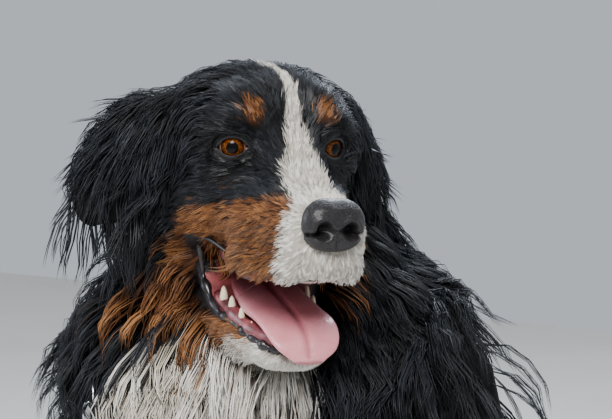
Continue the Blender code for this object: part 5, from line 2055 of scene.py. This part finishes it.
        # Masks for the painted shade in the groove and towards the root.
        set_values(piece, "groove", groove * upper)
        set_values(piece, "root", smooth_step(-25, 30, y))
        dress(piece, TONGUE_FLESH, "tongue_flesh", "tongue")

    def tooth(self, base: tuple, tip: tuple, radius: float, bend: float) -> tuple[Shape, Array]:
        """One tooth: an oval cone from its root, rounded and bent back at its tip.

        Args:
            base: the middle of its root, in millimetres.
            tip: its tip.
            radius: half its width.
            bend: how far its tip is bent back.

        Returns:
            The shape, and the share of its height at each point.
        """
        base, tip = np.array(base, float) * MM, np.array(tip, float) * MM
        share = np.linspace(0, 1, 14)[:, None]
        line = base + (tip - base) * share + np.array([0, bend * MM, 0]) * share**2
        size = radius * MM * np.sqrt(np.maximum(1 - share**2.4, 0.0004)) * (1 - 0.25 * share)
        along = unit(tip - base)
        first = unit(np.cross(along, [0.0, 1.0, 0.0]))
        second = np.cross(along, first)
        turn = np.linspace(0, 2 * math.pi, 18, endpoint=False)[None, :, None]
        rings = line[:, None] + size[:, None] * (0.72 * np.cos(turn) * first + np.sin(turn) * second)
        return Shape.from_rings(rings), np.concatenate([np.repeat(share, 18), [0.0, 1.0]])

    def mouth(self) -> None:
        """Teeth in both jaws, the gums that hold them and the dark edges of the lips."""
        # Side, back, height of the root and of the tip, and radius, in millimetres.
        upper = (
            (20, -72, -70, -83, 4.0),
            (26, -56, -74, -86, 4.2),
            (28, -42, -74, -87, 5.0),
            (29, -26, -74, -88, 5.8),
        )
        lower = (
            (17, -52, -140, -112, 4.6),
            (25, -34, -136, -119, 4.2),
            (28, -20, -132, -112, 5.0),
            (30, -5, -128, -107, 5.8),
            (31, 10, -122, -103, 5.8),
        )
        made = []
        for rows in (upper, lower):
            for x, y, root, tip, radius in rows:
                for side in (1, -1):
                    lean = x + (1.5 if abs(tip - root) > 16 else 0.4)
                    made.append(self.tooth((side * x, y, root), (side * lean, y - 1, tip), radius, 1.6))
        for k, x in enumerate((3, 8.5, -3, -8.5)):
            made.append(self.tooth((x, -57, -138), (x, -59, -121 - 0.4 * k), 2.6, 0.5))
        piece = mesh_object("teeth", Shape.merged([shape for shape, _ in made]).placed(HEAD))
        set_values(piece, "along", np.concatenate([along for _, along in made]))
        dress(piece, ENAMEL, "coat_white")
        upper_gum = [(30, 14, -79), (29, -26, -80), (26, -54, -79), (19, -70, -77), (0, -78, -76)]
        lower_gum = [(31, 22, -114), (30, -5, -119), (27, -24, -124)]
        lower_gum += [(22, -42, -127), (12, -56, -129), (0, -60, -129)]
        gums = []
        for rows, radius in ((upper_gum, 6.0), (lower_gum, 5.5)):
            both = np.vstack([through(rows, 30), (through(rows, 30) * np.array([-1, 1, 1]))[-2::-1]])
            gums.append(round_cord(both * MM, radius * MM * (1 + 0.10 * np.sin(np.arange(len(both)) * 0.9))))
        dress(mesh_object("gums", Shape.merged(gums).placed(HEAD)), GUM_FLESH, "tongue_flesh")
        lips = []
        for rows, radius, notch, sink in ((UPPER_LIP, 1.5, 0.08, 0.7), (LOWER_LIP, 2.8, 0.34, 1.3)):
            halves = [lip_lines(self.hide.head_tree, rows, side, sink * MM) for side in (1, -1)]
            line = np.vstack([halves[0], halves[1][-2::-1]])
            for _ in range(3):
                line[1:-1] = 0.5 * line[1:-1] + 0.25 * (line[2:] + line[:-2])
            step = np.arange(len(line))
            ends = smooth_step(0, 14, np.minimum(step, len(line) - 1 - step))
            uneven = 1 + notch * np.sin(step * 1.15) + 0.5 * notch * np.sin(step * 0.61 + 1.0)
            lips.append(round_cord(line, radius * MM * uneven * (0.35 + 0.65 * ends)))
        dress(mesh_object("lips", Shape.merged(lips).placed(HEAD)), LIP_SKIN, "coat_black")

    def whiskers(self) -> None:
        """Stiff fine hairs from the lips, brows and cheeks."""
        made = []
        for row, z in enumerate((-44, -52, -60, -68)):
            for k in range(6):
                for side in (1, -1):
                    y = -88 + 9 * k + self.dice.uniform(-2, 2)
                    start = (side * (30 + 1.6 * k), y, z + self.dice.uniform(-2, 2))
                    way = (0.25 * side, 0.75, -0.35 - 0.08 * row)
                    made.append(self.whisker(start, 0.55, way, self.dice.uniform(20, 38) * MM))
        for side in (1, -1):
            for k in range(4):
                start = (side * (27 + 3 * k), -10, 36 + 2 * k)
                made.append(self.whisker(start, 0.8, (0.3 * side, -0.1, 0.5), self.dice.uniform(16, 26) * MM))
        dress(mesh_object("whiskers", Shape.merged(made).placed(HEAD)), HORN, "coat_black")

    def whisker(self, start: tuple, rise: float, lean: tuple, length: float) -> Shape:
        """One tapering hair that droops by the square of its share.

        Args:
            start: a place near the skin, in millimetres.
            rise: how much of the skin's own way out goes into the hair's.
            lean: what is added to it.
            length: the hair's length in metres.

        Returns:
            The closed shape.
        """
        root, out = self.hide.head_tree.find_nearest(Vector(start) * MM)[:2]
        way = unit(np.array(out) * rise + np.array(lean))
        share = np.linspace(0, 1, 9)[:, None]
        line = np.array(root) + way * length * share + np.array([0, 0.004, -0.008]) * share**2
        return round_cord(line, 0.28 * MM * (1.02 - share[:, 0]), 6)


def round_cord(line: Array, radius: Array | float, sides: int = 14) -> Shape:
    """A closed cord along a line: line + radius (cos a side + sin a top).

    Args:
        line: its middle.
        radius: one radius, or one for each point.
        sides: points round it.

    Returns:
        The closed shape.
    """
    radius = np.broadcast_to(radius, (len(line),))[:, None, None]
    along = unit(np.gradient(line, axis=0))
    top = unit(np.cross(along, [0.31, 0.20, 0.93]))
    side = np.cross(along, top)
    turn = np.linspace(0, 2 * math.pi, sides, endpoint=False)[None, :, None]
    ring = np.cos(turn) * side[:, None] + np.sin(turn) * top[:, None]
    return Shape.from_rings(line[:, None] + radius * ring)


@dataclass
class Feet:
    """The claws of all four feet."""

    def build(self) -> None:
        """A curved claw on each toe of each foot."""
        made = []
        for side in (1, -1):
            for x, y in (FORE_PAW, HIND_PAW):
                for place, ahead in TOES:
                    made.append(self.claw(side * (x + place), y - ahead))
        dress(mesh_object("claws", Shape.merged(made).placed(BODY)), HORN, "coat_black")

    def claw(self, x: float, y: float) -> Shape:
        """A horn cone that bends down: line + thickness, flat at its sides.

        Args:
            x: the toe's place across.
            y: the toe's place along.

        Returns:
            The closed shape.
        """
        share = np.linspace(0, 1, 12)[:, None]
        line = np.array([x, y - 0.021, 0.019]) + share * np.array([0, -0.0155, -0.0035])
        line = line + share**2 * np.array([0, 0, -0.0095])
        size = 0.0050 * (1 - 0.82 * share**1.4)
        turn = np.linspace(0, 2 * math.pi, 16, endpoint=False)[None, :]
        rings = np.repeat(line[:, None], 16, axis=1)
        rings[:, :, 0] += 0.72 * size * np.cos(turn)
        rings[:, :, 2] += size * np.sin(turn)
        rings[:, :, 2] = np.maximum(rings[:, :, 2], 0.0008)
        return Shape.from_rings(rings)


@dataclass
class Strap:
    """The rolled collar and the tag that hangs from it, with their sizes in metres."""

    radius: float = 0.0058
    # Half the tag's plate across and up, and its middle below the ring's.
    plate: tuple[float, float] = (0.0078, 0.0108)
    drop: float = 0.0162
    # The ring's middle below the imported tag's top and before it, its radius and its wire's.
    ring_drop: float = 0.0066
    forward: float = 0.006
    hoop: float = 0.0072
    wire: float = 0.0009
    # Each ring of the plate from front to back: its share of the outline and its height.
    rim: tuple = (
        (0.80, 0.0006),
        (0.92, 0.0010),
        (1.0, 0.0007),
        (1.0, -0.0007),
        (0.92, -0.0010),
        (0.80, -0.0006),
    )

    def line(self) -> Array:
        """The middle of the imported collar, from its own vertices by their bearing round its centre.

        Returns:
            Points round the collar.
        """
        collar = bpy.data.objects["collar"]
        points = moved(points_of(collar), collar.matrix_world)
        centre = (points.min(0) + points.max(0)) / 2
        normal = unit(np.array([0, -0.304, 0.953]))
        flat = points - centre
        first = unit(np.cross(normal, [1.0, 0, 0]))
        second = np.cross(normal, first)
        bearing = np.arctan2(flat @ second, flat @ first)
        height = np.abs(flat @ normal) < 0.008
        bins = np.linspace(-math.pi, math.pi, 27)
        index = np.digitize(bearing, bins) - 1
        middles = []
        for k in range(26):
            some = flat[(index == k) & height]
            middles.append((some.min(0) + some.max(0)) / 2 if len(some) else middles[-1])
        found = centre + np.array(middles)
        for _ in range(2):
            found = 0.5 * found + 0.25 * (np.roll(found, 1, axis=0) + np.roll(found, -1, axis=0))
        return found

    def build(self) -> None:
        """A smooth tube on the collar's line, and a plate and ring for the tag."""
        found = self.line()
        looped = np.vstack([found[-2:], found, found[:3]])
        fine = through(looped, (len(looped) - 1) * 6 + 1)[12:-12]
        along = unit(np.roll(fine, -1, axis=0) - np.roll(fine, 1, axis=0))
        top = unit(np.cross(along, fine.mean(0) - fine))
        side = np.cross(along, top)
        turn = np.linspace(0, 2 * math.pi, 18, endpoint=False)[None, :, None]
        rings = fine[:, None] + self.radius * (np.cos(turn) * top[:, None] + np.sin(turn) * side[:, None])
        count, sides = rings.shape[:2]
        grid = np.arange(count * sides).reshape(count, sides)
        after, beside = np.roll(grid, -1, axis=0), np.roll(grid, -1, axis=1)
        both = np.roll(after, -1, axis=1)
        quads = np.stack([grid, beside, both, after], axis=-1).reshape(-1, 4)
        piece = mesh_object("collar_roll", Shape(rings.reshape(-1, 3), quads, np.zeros((0, 3), int)))
        dress(piece, STRAP, "collar_black", "collar")
        self.tag()

    def tag(self) -> None:
        """A plate with rounded corners, a raised rim and a round ring through its top."""
        low, high = (np.array(corner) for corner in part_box("tag"))
        wide = np.array([math.cos(TAG_TURN), math.sin(TAG_TURN), 0])
        thick = np.array([math.sin(TAG_TURN), -math.cos(TAG_TURN), 0])
        up = np.array([0, 0, 1.0])
        middle = np.array([*(low + high)[:2] / 2, high[2] - self.ring_drop]) + thick * self.forward
        bearing = np.linspace(0, 2 * math.pi, 48, endpoint=False)
        squeeze = (np.abs(np.cos(bearing)) ** 4 + np.abs(np.sin(bearing)) ** 4) ** -0.25
        half_wide, half_high = self.plate
        x, z = half_wide * squeeze * np.cos(bearing), half_high * squeeze * np.sin(bearing) - self.drop
        rings = []
        for size, rise in self.rim:
            flat = middle + wide * (x * size)[:, None] + up * ((z + self.drop) * size - self.drop)[:, None]
            rings.append(flat + thick * rise)
        made = [Shape.from_rings(np.array(rings))]
        circle = np.linspace(0, 2 * math.pi, 40)
        hoop = middle + self.hoop * (np.cos(circle)[:, None] * thick + np.sin(circle)[:, None] * up)
        made.append(round_cord(hoop, self.wire, 12))
        dress(mesh_object("tag_plate", Shape.merged(made)), STEEL, "tag_steel", "tag")


@dataclass
class Studio:
    """A pale floor, a pale world, soft lights and the camera."""

    # Half the floor's side, in metres.
    half: float = 3.5
    # The camera's bearing from the front, its height as an angle, and its distance in metres.
    azimuth: float = math.radians(32.0)
    elevation: float = math.radians(7.0)
    far: float = 2.0
    # The photograph's pixels to a metre and across, and the film's width in millimetres.
    per_metre: float = 1400.0
    wide: float = 612.0
    film: float = 36.0
    # Each light's name, place, side, power and colour.
    lamps: tuple = (
        ("key", (1.0, -2.4, 2.8), 1.5, 95.0, (1.0, 0.985, 0.96)),
        ("fill", (-2.4, -1.4, 1.6), 1.8, 30.0, (0.84, 0.91, 1.0)),
        ("back", (-0.8, 1.9, 2.6), 1.4, 60.0, (0.84, 0.91, 1.0)),
    )

    def build(self) -> None:
        """Set the stage and aim the camera at the head."""
        half = self.half
        corners = np.array([[-half, -half, 0], [half, -half, 0], [half, half, 0], [-half, half, 0]])
        floor = mesh_object("floor", Shape(corners, np.array([[0, 1, 2, 3]]), np.zeros((0, 3), int)), False)
        floor.data.materials.append(FLOOR_PAINT.material())
        world = bpy.data.worlds.new("studio")
        world.use_nodes = True
        world.node_tree.nodes["Background"].inputs["Color"].default_value = (0.80, 0.84, 0.90, 1.0)
        world.node_tree.nodes["Background"].inputs["Strength"].default_value = 0.55
        bpy.context.scene.world = world
        bpy.context.scene.view_settings.view_transform = "AgX"
        bpy.context.scene.view_settings.look = "AgX - Medium High Contrast"
        for lamp in self.lamps:
            self.lamp(*lamp)
        self.camera()

    def lamp(self, name: str, place: tuple, size: float, power: float, colour: tuple) -> None:
        """A square soft light that faces the chest.

        Args:
            name: the light's name.
            place: where it stands.
            size: its side.
            power: its power in watts.
            colour: its colour.
        """
        data = bpy.data.lights.new(name, "AREA")
        data.size, data.energy, data.color = size, power, colour
        made = bpy.data.objects.new(name, data)
        made.location = place
        made.rotation_euler = (Vector((0, -0.15, 0.55)) - Vector(place)).to_track_quat("-Z", "Y").to_euler()
        bpy.context.scene.collection.objects.link(made)

    def camera(self) -> None:
        """The photograph's view: from the dog's front left, close on the head and chest."""
        azimuth, elevation, far, per_metre = self.azimuth, self.elevation, self.far, self.per_metre
        back = Vector(
            (
                math.sin(azimuth) * math.cos(elevation),
                -math.cos(azimuth) * math.cos(elevation),
                math.sin(elevation),
            )
        )
        right = Vector((math.cos(azimuth), math.sin(azimuth), 0))
        up = back.cross(right)
        aim = HEAD.translation + right * (24 / per_metre) - up * (62 / per_metre)
        data = bpy.data.cameras.new("photo")
        data.sensor_width = self.film
        data.lens = self.film * far / (self.wide / per_metre)
        made = bpy.data.objects.new("photo", data)
        made.location = aim + back * far
        made.rotation_euler = back.to_track_quat("Z", "Y").to_euler()
        bpy.context.scene.collection.objects.link(made)
        bpy.context.scene.camera = made


FLESH_NODES = (
    "head",
    "jaw",
    "ear_left",
    "ear_right",
    "neck",
    "torso",
    "rump",
    "tail_root",
    "tail_middle",
    "tail_plume",
    "foreleg_left",
    "foreleg_right",
    "forepaw_left",
    "forepaw_right",
    "hindleg_left",
    "hindleg_right",
    "hindpaw_left",
    "hindpaw_right",
)


@dataclass
class Dog:
    """The whole dog, with the share of its full coat that is grown."""

    share: float = 1.0
    # How many make up the full coat.
    long_locks: int = 3550
    middle_locks: int = 4250
    short_tufts: int = 19400

    def build(self) -> None:
        """Skin, face, feet, collar and coat, in that order."""
        dice = np.random.default_rng(SKIN_SEED)
        hide = Hide().build()
        dress(hide.piece, SKIN, "coat_black", *FLESH_NODES)
        face = Face(hide, dice)
        face.build()
        hide.include(face.skins)
        Feet().build()
        strap = Strap()
        strap.build()
        self.grow(hide, face.skins, strap.line(), dice)

    def grow(self, hide: Hide, lids: list, strap: Array, dice: np.random.Generator) -> None:
        """Long locks over the ears, neck and body, and short tufts over the face and feet.

        Args:
            hide: the skin.
            lids: the eyelids.
            strap: the collar's middle line.
            dice: the source of random numbers.
        """
        lie = Lie.of_dog()
        low, high = (np.array(corner) for corner in CAD_BOX)
        room = (np.array([*(low[:2] - 0.008), 0.0008]), high + 0.006)
        ground = Ground.of(hide, lie, [hide.piece, *lids])
        coat = Coat(hide, lie, ground, Unwrap().build(hide.piece), strap, dice, room)
        numbers = (self.long_locks, self.middle_locks, self.short_tufts)
        long, middle, short = (int(number * self.share) for number in numbers)
        coat.locks("coat_long", long, 9, 5, 1.3 * MM, ground.wanted(0.045, 1.0, 2.6))
        coat.locks("coat_middle", middle, 6, 4, 1.15 * MM, ground.wanted(0.021, 0.050, 3.0))
        coat.tufts("coat_short", short, 5, 1.05 * MM, ground.wanted(0.001, 0.022, 5.0))
        LOG.info("coat: %d pieces", len(coat.made))


def main() -> None:
    """Build the dog and the studio."""
    logging.basicConfig(level=logging.INFO, format="%(message)s")
    Dog(1.0).build()
    Studio().build()


if __name__ == "__main__":
    main()
